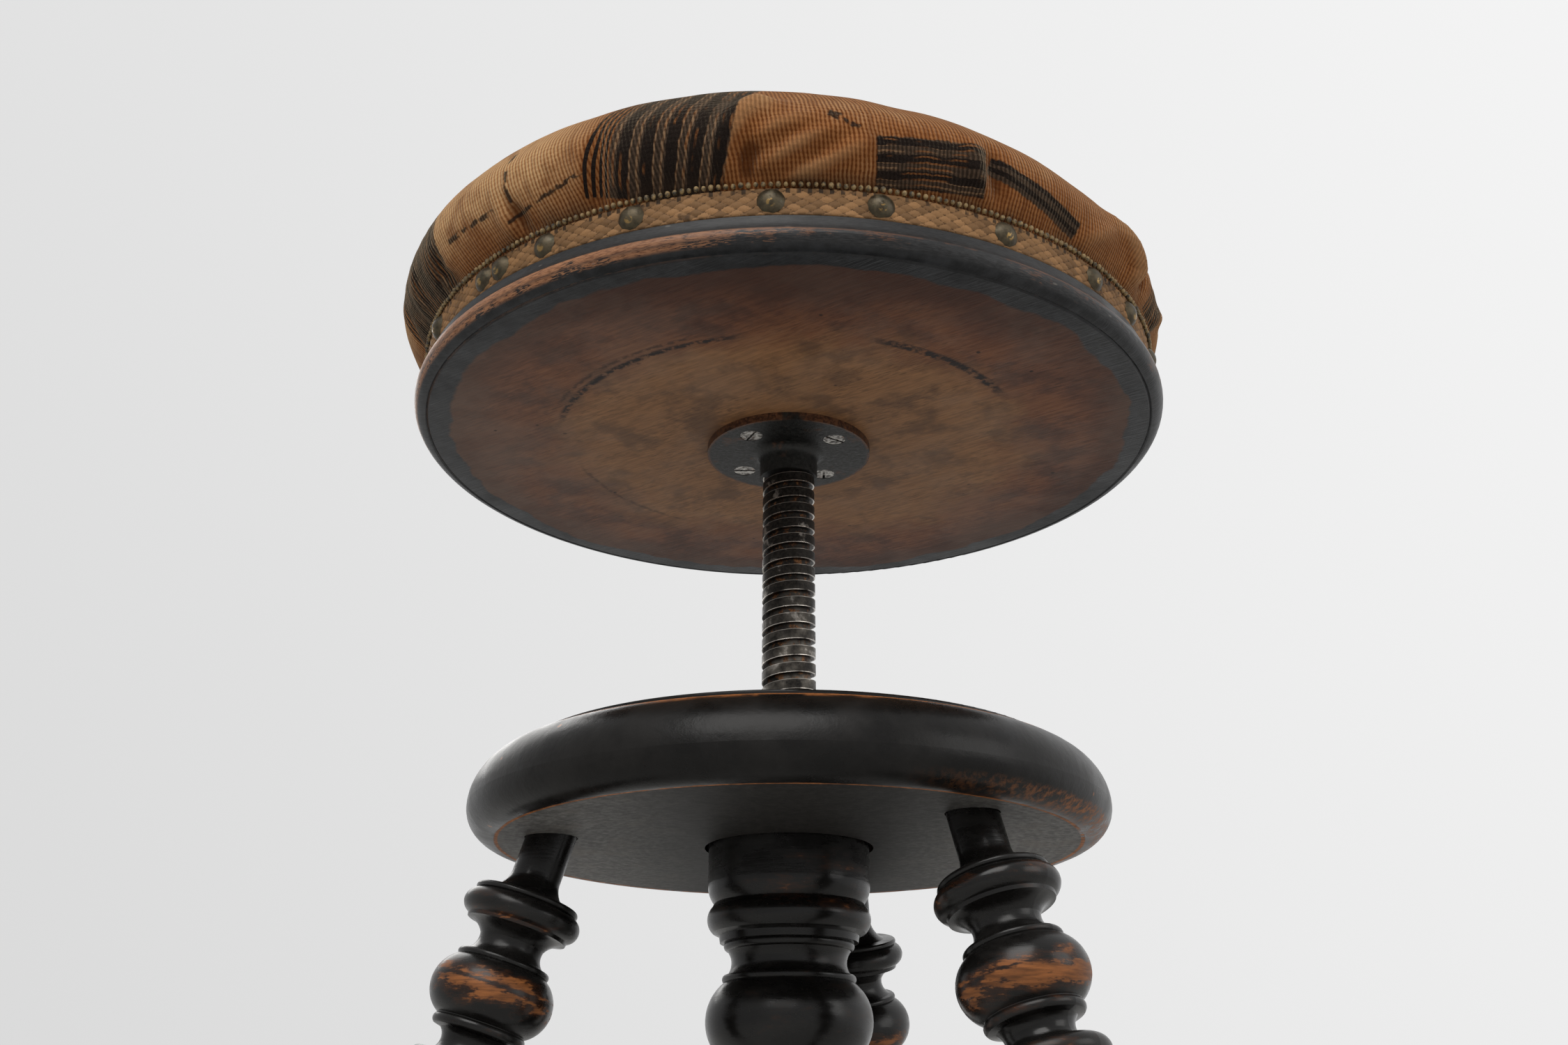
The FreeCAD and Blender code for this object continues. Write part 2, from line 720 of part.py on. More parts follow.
def wood_screw(name):
    """A slotted countersunk wood screw, its head's face at the origin and its slot along X."""
    screw = turned(name, [
        ("0", "-screw_length"),
        ("screw_shank_radius", "-screw_length + screw_shank_radius * 2"),
        ("screw_shank_radius", "-screw_head_depth"),
        ("screw_head_radius", "-fit_gap"),
        ("0", "-fit_gap"),
    ])
    sketch = screw.newObject("Sketcher::SketchObject", name + "_slot_section")
    sketch.AttachmentSupport = [(origin_feature(screw, "XY_Plane"), "")]
    sketch.MapMode = "FlatFace"
    corners = [(-1, -1), (1, -1), (1, 1), (-1, 1)]
    reach = size("screw_head_radius * 2")
    half = size("screw_slot_width / 2")
    for i, (x, y) in enumerate(corners):
        after = corners[(i + 1) % 4]
        sketch.addGeometry(Part.LineSegment(
            FreeCAD.Vector(x * reach, y * half, 0),
            FreeCAD.Vector(after[0] * reach, after[1] * half, 0),
        ))
    slot = screw.newObject("PartDesign::Pocket", name + "_slot")
    slot.Profile = sketch
    slot.setExpression("Length", bound("screw_slot_depth + fit_gap"))
    doc.recompute()
    return screw


def flange_screw_places():
    step = 360 / FLANGE_SCREW_COUNT
    first = size("flange_screw_turn") + step / 2
    places = [on_circle(size("flange_screw_circle"), first + step * i) for i in range(FLANGE_SCREW_COUNT)]
    return [(place.x, place.y) for place in places]


def make_spindle_flange():
    face = "seat_underside - flange_thickness"
    hub_end = f"{face} - hub_length"
    bore = "shank_radius + fit_gap"
    blank = turned("flange_blank", [
        (bore, hub_end),
        ("hub_radius", hub_end),
        ("hub_radius", f"{face} - hub_fillet_radius"),
        ("hub_radius + hub_fillet_radius", face, ("level", f"{face} - hub_fillet_radius")),
        ("flange_radius", face),
        ("flange_radius", "seat_underside"),
        (f"{bore} + rivet_lap_width", "seat_underside"),
        (bore, "seat_underside - rivet_depth"),
    ])
    holes = countersinks("flange", flange_screw_places(), size(face), -1)
    return combined("Part::Cut", "spindle_flange", blank, holes)


def make_flange_screws():
    screw = wood_screw("flange_screw")
    face = size("seat_underside - flange_thickness")
    over = FreeCAD.Rotation(FreeCAD.Vector(1, 0, 0), 180)
    placements = []
    for (x, y), slot in zip(flange_screw_places(), FLANGE_SLOT_ANGLES):
        placements.append(FreeCAD.Placement(FreeCAD.Vector(x, y, face), about_z(slot).multiply(over)))
    return group("flange_screws", screw.Shape, placements)


def make_stop_washer():
    foot = "spindle_end + washer_play_gap"
    return turned("stop_washer", [
        ("journal_radius + soft_gap", foot),
        ("washer_radius", foot),
        ("washer_radius", f"{foot} + washer_thickness"),
        ("journal_radius + soft_gap", f"{foot} + washer_thickness"),
    ])


def make_stop_screw():
    foot = "spindle_end - stop_head_height"
    return turned("stop_screw", [
        ("0", foot),
        ("stop_head_radius - stop_head_height / 3", foot),
        ("stop_head_radius", f"{foot} + stop_head_height / 3"),
        ("stop_head_radius", "spindle_end"),
        ("stop_shank_radius", "spindle_end"),
        ("stop_shank_radius", "spindle_end + stop_shank_length"),
        ("0", "spindle_end + stop_shank_length"),
    ])


# Base

def make_base_plate():
    blank = turned("plate_blank", [
        ("post_recess_radius", plate("0")),
        ("plate_flat_radius", plate("0")),
        ("plate_radius", plate("plate_widest_height"), ("level", plate("plate_widest_height"))),
        ("plate_rim_radius", plate("plate_rim_height"), ("level", plate("plate_widest_height"))),
        ("plate_step_radius", plate("plate_rim_height")),
        ("plate_step_radius", "plate_top - plate_step_edge_radius"),
        ("plate_step_radius - plate_step_edge_radius", "plate_top",
         ("level", "plate_top - plate_step_edge_radius")),
        ("nut_flange_radius + fit_gap", "plate_top"),
        ("nut_flange_radius + fit_gap", "nut_seat"),
        ("post_tenon_radius + fit_gap", "nut_seat"),
        ("post_tenon_radius + fit_gap", plate("post_recess_depth")),
        ("post_recess_radius", plate("post_recess_depth")),
    ])
    sockets = []
    length = "leg_tenon_length + foot_allowance_length + leg_hole_gap"
    for i in range(LEG_COUNT):
        leg = leg_placement(i)
        start = FreeCAD.Vector(0, 0, size("plate_height / cos(leg_splay) - foot_allowance_length"))
        sockets.append(rod(f"leg_socket_{i + 1}", "leg_neck_end_radius + leg_hole_gap", length,
                           FreeCAD.Placement(leg.multVec(start), leg.Rotation)))
    return combined("Part::Cut", "base_plate", blank, fused("leg_sockets", sockets))


def make_spindle_nut():
    bore = "root_radius + thread_gap"
    blank = turned("nut_blank", [
        (bore, "nut_foot"),
        ("nut_barrel_radius", "nut_foot"),
        ("nut_barrel_radius", "nut_seat"),
        ("nut_flange_radius", "nut_seat"),
        ("nut_flange_radius", "plate_top"),
        (bore, "plate_top"),
    ])
    helical_cut(
        blank, "nut_thread",
        inner=f"{bore} - thread_depth / 2",
        outer="crest_radius + thread_gap",
        width="(thread_pitch - groove_width + 2 * thread_gap)",
        start=first_groove("nut_foot", 0.5),
        length="plate_top - nut_foot + 3 * thread_pitch",
    )
    holes = countersinks("nut", nut_screw_places(), size("plate_top"), 1)
    return combined("Part::Cut", "spindle_nut", blank, holes)


def nut_screw_places():
    step = 360 / NUT_SCREW_COUNT
    places = [on_circle(size("nut_screw_circle"), step * i) for i in range(NUT_SCREW_COUNT)]
    return [(place.x, place.y) for place in places]


def make_nut_screws():
    screw = wood_screw("nut_screw")
    top = size("plate_top")
    placements = []
    for (x, y), slot in zip(nut_screw_places(), NUT_SLOT_ANGLES):
        placements.append(FreeCAD.Placement(FreeCAD.Vector(x, y, top), about_z(slot)))
    return group("nut_screws", screw.Shape, placements)


def stretcher_sockets(name, start, length):
    """Radial bores for the three stretchers' tenons."""
    rods = []
    for i in range(LEG_COUNT):
        place = radial(size(start), leg_azimuth(i), size("stretcher_height"))
        rods.append(rod(f"{name}_{i + 1}", "stretcher_tenon_radius + fit_gap", length, place))
    return rods


def make_centre_post():
    datums = {"plate": ("plate_height", "-"), "stretcher": ("stretcher_height", "-")}
    outline, _ = stations("post", POST_TURNING, datums)
    top = "nut_seat - fit_gap"
    foot = "stretcher_height - post_base_end_at"
    shoulder = plate("post_recess_depth - fit_gap")
    bore_top = "nut_foot - soft_gap"
    finial_hole = "finial_tenon_radius + fit_gap"
    blank = turned("post_blank", [
        ("nut_barrel_radius + fit_gap", top),
        ("post_tenon_radius", top),
        ("post_tenon_radius", shoulder),
        ("post_drum_foot_radius", shoulder),
        *outline,
        (finial_hole, foot),
        (finial_hole, f"{foot} + finial_tenon_length + soft_gap"),
        ("0", f"{foot} + finial_tenon_length + soft_gap"),
        ("0", "plate_height - post_bore_depth"),
        ("post_bore_radius", "plate_height - post_bore_depth"),
        ("post_bore_radius", bore_top),
        ("nut_barrel_radius + fit_gap", bore_top),
    ])
    inner = "post_band_foot_radius - stretcher_tenon_length - fit_gap"
    holes = stretcher_sockets("post_socket", inner, "stretcher_tenon_length + stretcher_inner_ring_at")
    return combined("Part::Cut", "centre_post", blank, fused("post_sockets", holes))


def make_post_finial():
    foot = "(stretcher_height - post_base_end_at)"
    outline, _ = stations("finial", FINIAL_TURNING, {"post": (foot, "-")})
    return turned("post_finial", [
        ("0", f"{foot} + finial_tenon_length"),
        ("finial_tenon_radius", f"{foot} + finial_tenon_length"),
        ("finial_tenon_radius", f"{foot} - finial_shoulder_at"),
        *outline,
        ("0", f"{foot} - finial_length", ("dome",)),
    ])


def make_leg(index):
    datums = {
        "plate": ("plate_height / cos(leg_splay)", "-"),
        "stretcher": ("stretcher_height / cos(leg_splay)", "-"),
        "floor": ("0", "+"),
    }
    outline, through = stations("leg", LEG_TURNING, datums)
    top = "plate_height / cos(leg_splay) + leg_tenon_length"
    blank = turned(f"leg_blank_{index + 1}", [
        ("0", top),
        ("leg_neck_end_radius", top),
        *outline,
        ("leg_foot_radius", "-foot_allowance_length", through),
        ("0", "-foot_allowance_length"),
    ])
    blank.Placement = leg_placement(index)
    floor = doc.addObject("Part::Box", f"floor_{index + 1}")
    span = size("leg_circle + plate_height")
    floor.Length = 2 * span
    floor.Width = 2 * span
    floor.setExpression("Height", bound("foot_allowance_length * 3"))
    floor.Placement.Base = FreeCAD.Vector(-span, -span, -size("foot_allowance_length * 3"))
    inner = "leg_reach - leg_knop_round_radius - soft_gap"
    place = radial(size(inner), leg_azimuth(index), size("stretcher_height"))
    socket = rod(f"leg_hole_{index + 1}", "stretcher_tenon_radius + fit_gap",
                 "stretcher_tenon_length + soft_gap + fit_gap", place)
    cuts = fused(f"leg_cuts_{index + 1}", [floor, socket])
    return combined("Part::Cut", f"leg_{index + 1}", blank, cuts)


def make_stretcher(index):
    post_face = "post_band_foot_radius"
    leg_face = "leg_reach - leg_knop_round_radius"
    datums = {
        "post": (post_face, "+"),
        "middle": (f"({post_face} + {leg_face}) / 2", "+"),
        "leg": ("leg_reach", "+"),
    }
    outline, _ = stations("stretcher", STRETCHER_TURNING, datums)
    inner = f"{post_face} - stretcher_tenon_length"
    outer = f"{leg_face} + stretcher_tenon_length"
    body = turned(f"stretcher_{index + 1}", [
        ("0", inner),
        ("stretcher_tenon_radius", inner),
        *outline,
        ("stretcher_tenon_radius", outer),
        ("0", outer),
    ])
    body.Placement = radial(0, leg_azimuth(index), size("stretcher_height"))
    return body


def check(made):
    """Stop if any object failed or any sub-part isn't a sound solid."""
    for item in doc.Objects:
        if "Invalid" in item.State or "Error" in item.State:
            raise RuntimeError(f"{item.Label} didn't recompute: {item.State}")
    for item in made:
        shape = item.Shape
        if shape.isNull() or not shape.isValid() or not shape.Solids:
            raise RuntimeError(f"{item.Label} has no sound solid")


def main():
    made = [
        make_seat_board(),
        make_cushion_cover(),
        make_cushion_stuffing(),
        make_gimp_braid(),
        make_gimp_nails(),
        make_cover_tacks(),
        make_spindle(),
        make_spindle_flange(),
        make_flange_screws(),
        make_stop_washer(),
        make_stop_screw(),
        make_base_plate(),
        make_spindle_nut(),
        make_nut_screws(),
        make_centre_post(),
        make_post_finial(),
    ]
    made += [make_leg(i) for i in range(LEG_COUNT)]
    made += [make_stretcher(i) for i in range(LEG_COUNT)]
    doc.recompute()
    check(made)
    os.makedirs("parts", exist_ok=True)
    for item in made:
        item.Shape.exportStep(f"parts/{item.Label}.step")
        box = item.Shape.BoundBox
        print(f"{item.Label:18s} {len(item.Shape.Solids):3d} solids, {item.Shape.Volume:12.1f} mm3,"
              f" z {box.ZMin:7.2f} to {box.ZMax:7.2f}")


main()
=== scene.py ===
"""Dresses the revolving piano stool: cushion, braid and finishes over the packed model."""

import math

import bpy
import numpy as np
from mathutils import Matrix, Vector, noise


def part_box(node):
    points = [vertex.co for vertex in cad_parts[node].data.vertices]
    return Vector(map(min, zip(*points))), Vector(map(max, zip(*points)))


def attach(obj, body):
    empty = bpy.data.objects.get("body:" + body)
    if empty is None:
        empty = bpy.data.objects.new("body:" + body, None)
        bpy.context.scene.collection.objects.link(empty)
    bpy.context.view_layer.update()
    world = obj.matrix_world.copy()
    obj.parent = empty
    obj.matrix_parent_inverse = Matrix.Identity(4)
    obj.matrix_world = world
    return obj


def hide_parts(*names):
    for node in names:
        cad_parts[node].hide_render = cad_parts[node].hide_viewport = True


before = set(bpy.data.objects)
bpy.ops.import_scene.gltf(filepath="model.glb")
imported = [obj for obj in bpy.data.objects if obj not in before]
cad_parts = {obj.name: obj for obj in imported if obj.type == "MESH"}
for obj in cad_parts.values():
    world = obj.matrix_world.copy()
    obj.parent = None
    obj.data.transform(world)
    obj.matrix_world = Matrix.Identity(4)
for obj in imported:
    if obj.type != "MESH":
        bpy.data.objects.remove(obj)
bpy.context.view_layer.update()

bl_info = {
    "name": "Revolving Piano Stool",
    "version": (1, 0, 0),
    "blender": (4, 5, 0),
    "location": "View3D > Sidebar > Stool",
    "description": "Upholstery, braid and finishes for a revolving piano stool",
    "category": "Object",
}

MM = 0.001


def node_foot(name):
    """Height of a node's lowest point"""
    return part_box(name)[0].z


def node_radius(name):
    """Half the width of a round node"""
    low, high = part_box(name)
    return (high.x - low.x) / 2


def colour_setting(name, description, default):
    """A colour of a property group"""
    return bpy.props.FloatVectorProperty(
        name=name,
        description=description,
        subtype="COLOR",
        size=3,
        min=0.0,
        max=1.0,
        default=default,
    )


def length_setting(name, description, default, least):
    """A length of a property group, in metres"""
    return bpy.props.FloatProperty(
        name=name,
        description=description,
        default=default,
        min=least,
        unit="LENGTH",
    )


class StoolCushion(bpy.types.PropertyGroup):
    """Ribs, mesh size and colours of the cushion's cloth"""

    rib_width: length_setting("Rib width", "Width of one rib of the cut pile", 0.0016, 0.0001)
    grid: length_setting("Grid", "Mesh size that the cloth is stuffed at", 0.0045, 0.002)
    ground: colour_setting("Ground", "Ochre ground of the cloth", (0.29, 0.122, 0.042))
    valley: colour_setting("Valley", "Deeper orange between the ribs", (0.11, 0.031, 0.007))
    stripe: colour_setting("Stripe", "Black of the stripes", (0.0075, 0.005, 0.004))
    charcoal: colour_setting("Charcoal", "Faded grey of the wide stripes", (0.07, 0.045, 0.03))


class StoolBraid(bpy.types.PropertyGroup):
    """Sizes of the woven braid round the foot of the cushion"""

    strand_width: length_setting("Strand width", "Width of one straw strand", 0.0026, 0.0005)
    strand_relief: length_setting(
        "Strand relief", "How far a strand stands over the one it crosses", 0.0007, 0.0
    )
    picot_pitch: length_setting("Picot pitch", "Distance from one picot bead to the next", 0.0028, 0.001)
    picot_size: length_setting("Picot size", "Diameter of a picot bead", 0.0021, 0.0005)
    straw: colour_setting("Straw", "Light colour of the strands", (0.33, 0.178, 0.078))


class StoolFinishes(bpy.types.PropertyGroup):
    """Colours of the wood and metal"""

    ebonised: colour_setting("Ebonised", "Black polish on the base", (0.0052, 0.0048, 0.0045))
    bare: colour_setting("Bare wood", "Orange wood where the polish has worn off", (0.21, 0.075, 0.022))
    board: colour_setting("Board", "Brown wood under the seat", (0.25, 0.122, 0.052))
    iron: colour_setting("Iron", "Blackened iron of the flange and nut", (0.017, 0.0165, 0.015))
    brass: colour_setting("Nail brass", "Tarnished brass of the domed nails", (0.075, 0.058, 0.034))


class StoolStage(bpy.types.PropertyGroup):
    """Camera, backdrop and lamps"""

    lens: bpy.props.FloatProperty(
        name="Lens",
        description="Focal length for a 36 mm sensor",
        default=34.4546,
        min=10.0,
        unit="CAMERA",
    )
    pitch: bpy.props.FloatProperty(
        name="Pitch",
        description="How far the camera looks up",
        default=0.3983,
        subtype="ANGLE",
    )
    stand: bpy.props.FloatVectorProperty(
        name="Stand",
        description="Place of the camera",
        subtype="TRANSLATION",
        size=3,
        unit="LENGTH",
        default=(-0.0021, -0.6291, 0.2429),
    )
    backdrop: bpy.props.FloatProperty(
        name="Backdrop",
        description="Brightness of the pale backdrop",
        default=0.77,
        min=0.0,
        max=1.0,
    )
    ambient: bpy.props.FloatProperty(
        name="Ambient",
        description="Light from the pale room",
        default=0.36,
        min=0.0,
    )
    key: bpy.props.FloatProperty(
        name="Key lamp",
        description="Power of the soft lamp above the front",
        default=38.0,
        min=0.0,
        unit="POWER",
    )


class Nodes:
    """A node tree written as sums of sockets and numbers"""

    def __init__(self, tree):
        self.tree = tree
        tree.nodes.clear()

    def feed(self, socket, value):
        if isinstance(value, bpy.types.NodeSocket):
            self.tree.links.new(value, socket)
        elif socket.type == "RGBA":
            socket.default_value = (*value[:3], 1.0)
        elif socket.type == "VECTOR":
            socket.default_value = tuple(value)
        else:
            socket.default_value = value

    def node(self, kind, sockets=(), **settings):
        """A new node. Its sockets are fed in order, or by name or number from a dictionary"""
        node = self.tree.nodes.new("ShaderNode" + kind)
        for name, setting in settings.items():
            setattr(node, name, setting)
        if not isinstance(sockets, dict):
            sockets = dict(enumerate(sockets))
        for key, value in sockets.items():
            self.feed(node.inputs[key], value)
        return node

    def math(self, operation, *values):
        return self.node("Math", values, operation=operation).outputs["Value"]

    def vector(self, operation, *values):
        node = self.node("VectorMath", values, operation=operation)
        return node.outputs["Value" if operation in ("DOT_PRODUCT", "LENGTH") else "Vector"]

    def add(self, *values):
        total = values[0]
        for value in values[1:]:
            total = self.math("ADD", total, value)
        return total

    def times(self, *values):
        product = values[0]
        for value in values[1:]:
            product = self.math("MULTIPLY", product, value)
        return product

    def less(self, a, b):
        return self.math("SUBTRACT", a, b)

    def inverse(self, value):
        return self.math("SUBTRACT", 1.0, value)

    def seen(self):
        """1 for camera, mirrored and transmitted rays"""
        path = self.node("LightPath").outputs
        mirrored = self.math("MAXIMUM", path["Is Glossy Ray"], path["Is Transmission Ray"])
        return self.math("MAXIMUM", path["Is Camera Ray"], mirrored)


class Finish(Nodes):
    """One finish of the stool as a node material, with places in millimetres"""

    def __init__(self, name):
        self.material = bpy.data.materials.new(name)
        self.material.use_nodes = True
        super().__init__(self.material.node_tree)
        self.shader = self.node("BsdfPrincipled")
        self.output = self.node("OutputMaterial", {"Surface": self.shader.outputs["BSDF"]})
        coordinates = self.node("TexCoord")
        self.facing = coordinates.outputs["Normal"]
        self.place = self.scale(coordinates.outputs["Object"], 1 / MM)

    def set(self, **values):
        for name, value in values.items():
            self.feed(self.shader.inputs[name.replace("_", " ")], value)

    def scale(self, vector, factor):
        return self.node("VectorMath", {0: vector, "Scale": factor}, operation="SCALE").outputs["Vector"]

    def along(self, start, axis):
        """Distance in millimetres along an axis from a point on it"""
        away = self.vector("SUBTRACT", self.place, tuple(c / MM for c in start))
        return self.vector("DOT_PRODUCT", away, tuple(axis))

    def attribute(self, name):
        """The number that the mesh keeps for the point"""
        return self.node("Attribute", attribute_name=name).outputs["Fac"]

    def split(self, vector):
        """The three parts of a vector"""
        return tuple(self.node("SeparateXYZ", (vector,)).outputs)

    def join(self, x, y, z):
        return self.node("CombineXYZ", (x, y, z)).outputs[0]

    def radius(self):
        x, y, _ = self.split(self.place)
        return self.vector("LENGTH", self.join(x, y, 0.0))

    def outward(self):
        """Direction from the stool's axis to the point, level with the floor"""
        x, y, _ = self.split(self.place)
        return self.vector("NORMALIZE", self.join(x, y, 0.0))

    def bearing(self):
        """Angle in degrees about the stool's axis, from +X"""
        x, y, _ = self.split(self.place)
        return self.times(self.math("ARCTAN2", y, x), 180 / math.pi)

    def ease(self, value, start, end, low=0.0, high=1.0):
        node = self.node("MapRange", (value, start, end, low, high), interpolation_type="SMOOTHSTEP")
        return node.outputs["Result"]

    def band(self, value, start, end, soft):
        """1 between start and end, with soft edges"""
        rise = self.ease(value, start - soft, start + soft)
        fall = self.ease(value, end - soft, end + soft, 1.0, 0.0)
        return self.times(rise, fall)

    def drawn_out(self, size, stretch, turn, place):
        """Places for a texture of the given size in millimetres, drawn out along its own axes"""
        scale = tuple(size * s for s in stretch)
        sockets = {"Vector": place or self.place, "Rotation": turn, "Scale": scale}
        return self.node("Mapping", sockets, vector_type="TEXTURE").outputs["Vector"]

    def grain(
        self, size, detail=4.0, roughness=0.55, stretch=(1, 1, 1), turn=(0, 0, 0), twist=0.0, place=None
    ):
        """Noise whose features are about size millimetres"""
        sockets = {
            "Vector": self.drawn_out(size, stretch, turn, place),
            "Scale": 1.0,
            "Detail": detail,
            "Roughness": roughness,
            "Distortion": twist,
        }
        return self.node("TexNoise", sockets).outputs["Fac"]

    def flecks(self, size, reach, stretch=(1, 1, 1), turn=(0, 0, 0)):
        """Small scattered spots, 1 inside each one"""
        sockets = {"Vector": self.drawn_out(size, stretch, turn, None), "Scale": 1.0}
        spots = self.node("TexVoronoi", sockets).outputs["Distance"]
        return self.ease(spots, reach * 0.5, reach, 1.0, 0.0)

    def levels(self, value, stops):
        """A grey level for each place along value, straight between the stops"""
        node = self.node("ValToRGB", (value,))
        elements = node.color_ramp.elements
        while len(elements) > 1:
            elements.remove(elements[0])
        first, level = stops[0]
        elements[0].position = first
        elements[0].color = (level, level, level, 1.0)
        for position, level in stops[1:]:
            element = elements.new(position)
            element.color = (level, level, level, 1.0)
        return node.outputs["Color"]

    def mix(self, factor, a, b):
        return self.node("Mix", {0: factor, 6: a, 7: b}, data_type="RGBA").outputs[2]

    def over(self, colour, laid, *factors):
        """A colour with another laid over it, as strong as the product of the factors"""
        return self.mix(self.times(*factors), colour, laid)

    def blend(self, value, start, end, a, b):
        """Colour a up to start and b from end on"""
        return self.mix(self.ease(value, start, end), a, b)

    def cap(self, value):
        return self.math("MINIMUM", value, 1.0)

    def bump(self, height, depth, under=None):
        """Relief of the given depth in millimetres where height goes from 0 to 1"""
        sockets = {"Strength": 1.0, "Distance": depth * MM, "Height": height}
        if under is not None:
            sockets["Normal"] = under
        return self.node("Bump", sockets).outputs["Normal"]


def read(vertices, name):
    """One vector of each vertex"""
    values = np.zeros(len(vertices) * 3)
    vertices.foreach_get(name, values)
    return values.reshape(-1, 3)


def store(piece, name, values):
    """Keeps a number for each vertex, for a finish to read"""
    kept = piece.data.attributes.new(name, "FLOAT", "POINT")
    kept.data.foreach_set("value", values.astype(np.float32))


def shade(colour, share):
    """A colour brought down or up by a share"""
    return tuple(c * share for c in colour)


def dress(name, material):
    """Puts one material on a packed node"""
    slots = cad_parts[name].data.materials
    slots.clear()
    slots.append(material)


def mesh_piece(name, points, faces, material):
    """A smooth piece from points in metres, in the scene and with its material"""
    mesh = bpy.data.meshes.new(name)
    mesh.from_pydata([tuple(p) for p in points], [], [tuple(f) for f in faces])
    mesh.update()
    piece = bpy.data.objects.new(name, mesh)
    bpy.context.scene.collection.objects.link(piece)
    piece.data.materials.append(material)
    mesh.polygons.foreach_set("use_smooth", np.ones(len(mesh.polygons), bool))
    return piece


# Level circles of the stuffed seat: height over the board's underside, radius, and how far the
# centre lies from the axis, away from the side where the stuffing has settled.
SEAT_HOOPS = (
    (20.5, 162.4, 0.0), (26.0, 163.2, 0.0), (28.5, 164.4, 0.1), (31.5, 167.6, 0.7),
    (36.0, 171.8, 1.6), (45.0, 175.8, 3.2), (54.0, 173.4, 6.2), (62.0, 166.4, 9.2),
    (69.0, 159.4, 12.0), (75.0, 151.2, 14.6), (80.4, 139.6, 16.4), (84.6, 126.1, 17.0),
    (88.6, 112.0, 16.4), (92.2, 93.0, 14.6), (94.6, 66.0, 12.0), (95.8, 30.0, 10.0),
    (96.0, 0.0, 10.0),
)
SETTLED_BEARING = 30.0
# The stuffing is pressed into the cloth for so many steps, and moves it at most so far
STUFFING_STEPS = 20
STUFFING_REACH = 0.0012
HEM_HEIGHT = 0.026
CLOTH_RADIUS = 170.0
CLOTH_DEGREE = CLOTH_RADIUS * math.pi / 180
BRAID_TOP = 28.2
# Share by which the stuffed seat shrinks while it is remeshed, in reach and in height
REMESH_LOSS = (0.009, 0.022)


def section_at(bearing):
    """Half section of the seat at a bearing, as radius and height in millimetres"""
    height, radius, shift = np.array(SEAT_HOOPS).T
    turn = math.radians(bearing - SETTLED_BEARING)
    shift = np.minimum(shift, radius * 0.9)
    reach = np.sqrt(radius**2 - (shift * math.sin(turn)) ** 2) - shift * math.cos(turn)
    return np.c_[reach, height]


def run(line):
    """How far along a line each of its points lies"""
    return np.r_[0, np.cumsum(np.hypot(*np.diff(line, axis=0).T))]


def spaced(line, count):
    """Evenly spaced points on a line"""
    steps = run(line)
    even = np.linspace(0, steps[-1], count)
    return np.c_[np.interp(even, steps, line[:, 0]), np.interp(even, steps, line[:, 1])]


def smooth_section(section, count):
    """Evenly spaced points on a rounded line through a section"""
    line = spaced(section, 400)
    window = 13
    half = window // 2
    weights = np.hanning(window)
    weights /= weights.sum()
    padded = np.r_[2 * line[0] - line[half:0:-1], line, (line[-2 : -2 - half : -1] * (-1, 1))]
    rounded = np.c_[
        np.convolve(padded[:, 0], weights, "valid"),
        np.convolve(padded[:, 1], weights, "valid"),
    ]
    return spaced(rounded, count)


def seat_shape(rings=44, spokes=180):
    """Closed shape of the stuffed seat"""
    board = node_foot("seat_board") / MM
    points = []
    for spoke in range(spokes):
        bearing = 360 * spoke / spokes
        section = smooth_section(section_at(bearing), rings + 1)[:-1]
        section *= 1 + np.clip((section[:, 1:] - 34) / 20, 0, 1) * np.array(REMESH_LOSS)
        angle = math.radians(bearing)
        for radius, z in section:
            points.append((radius * math.cos(angle), radius * math.sin(angle), board + z))
    faces = []
    for spoke in range(spokes):
        following = (spoke + 1) % spokes
        for ring in range(rings - 1):
            a = spoke * rings + ring
            b = following * rings + ring
            faces.append((a, b, b + 1, a + 1))
    crown = len(points)
    points.append((0.0, 0.0, board + section[-1, 1]))
    foot = crown + 1
    points.append((0.0, 0.0, board + SEAT_HOOPS[0][0]))
    for spoke in range(spokes):
        following = (spoke + 1) % spokes
        faces.append((spoke * rings + rings - 1, following * rings + rings - 1, crown))
        faces.append((following * rings, spoke * rings, foot))
    return np.array(points) * MM, faces


def stuff(piece, grid):
    """Remeshes a closed piece, lets the stuffing press its cloth out, and caps how far it goes"""
    bpy.context.view_layer.objects.active = piece
    remesh = piece.modifiers.new("even_mesh", "REMESH")
    remesh.mode = "VOXEL"
    remesh.voxel_size = grid
    bpy.ops.object.modifier_apply(modifier=remesh.name)
    start = read(piece.data.vertices, "co")
    tacked = piece.vertex_groups.new(name="tacked")
    hem = node_foot("seat_board") + HEM_HEIGHT
    inner = (start[:, 2] < hem).nonzero()[0]
    tacked.add([int(i) for i in inner], 1.0, "REPLACE")
    cloth = piece.modifiers.new("stuffing", "CLOTH")
    cloth.settings.quality = 5
    cloth.settings.mass = 0.3
    cloth.settings.tension_stiffness = 18
    cloth.settings.compression_stiffness = 18
    cloth.settings.shear_stiffness = 6
    cloth.settings.bending_stiffness = 2.0
    cloth.settings.use_pressure = True
    cloth.settings.uniform_pressure_force = 20
    cloth.settings.effector_weights.gravity = 0
    cloth.settings.vertex_group_mass = tacked.name
    cloth.point_cache.frame_start = 1
    cloth.point_cache.frame_end = STUFFING_STEPS
    scene = bpy.context.scene
    for step in range(1, STUFFING_STEPS + 1):
        scene.frame_set(step)
    graph = bpy.context.evaluated_depsgraph_get()
    end = read(piece.evaluated_get(graph).to_mesh().vertices, "co")
    piece.evaluated_get(graph).to_mesh_clear()
    piece.modifiers.remove(cloth)
    scene.frame_set(1)
    moved = end - start
    length = np.maximum(np.linalg.norm(moved, axis=1), 1e-9)
    moved *= (np.minimum(length, STUFFING_REACH) / length)[:, None]
    piece.data.vertices.foreach_set("co", (start + moved).ravel())
    piece.data.update()


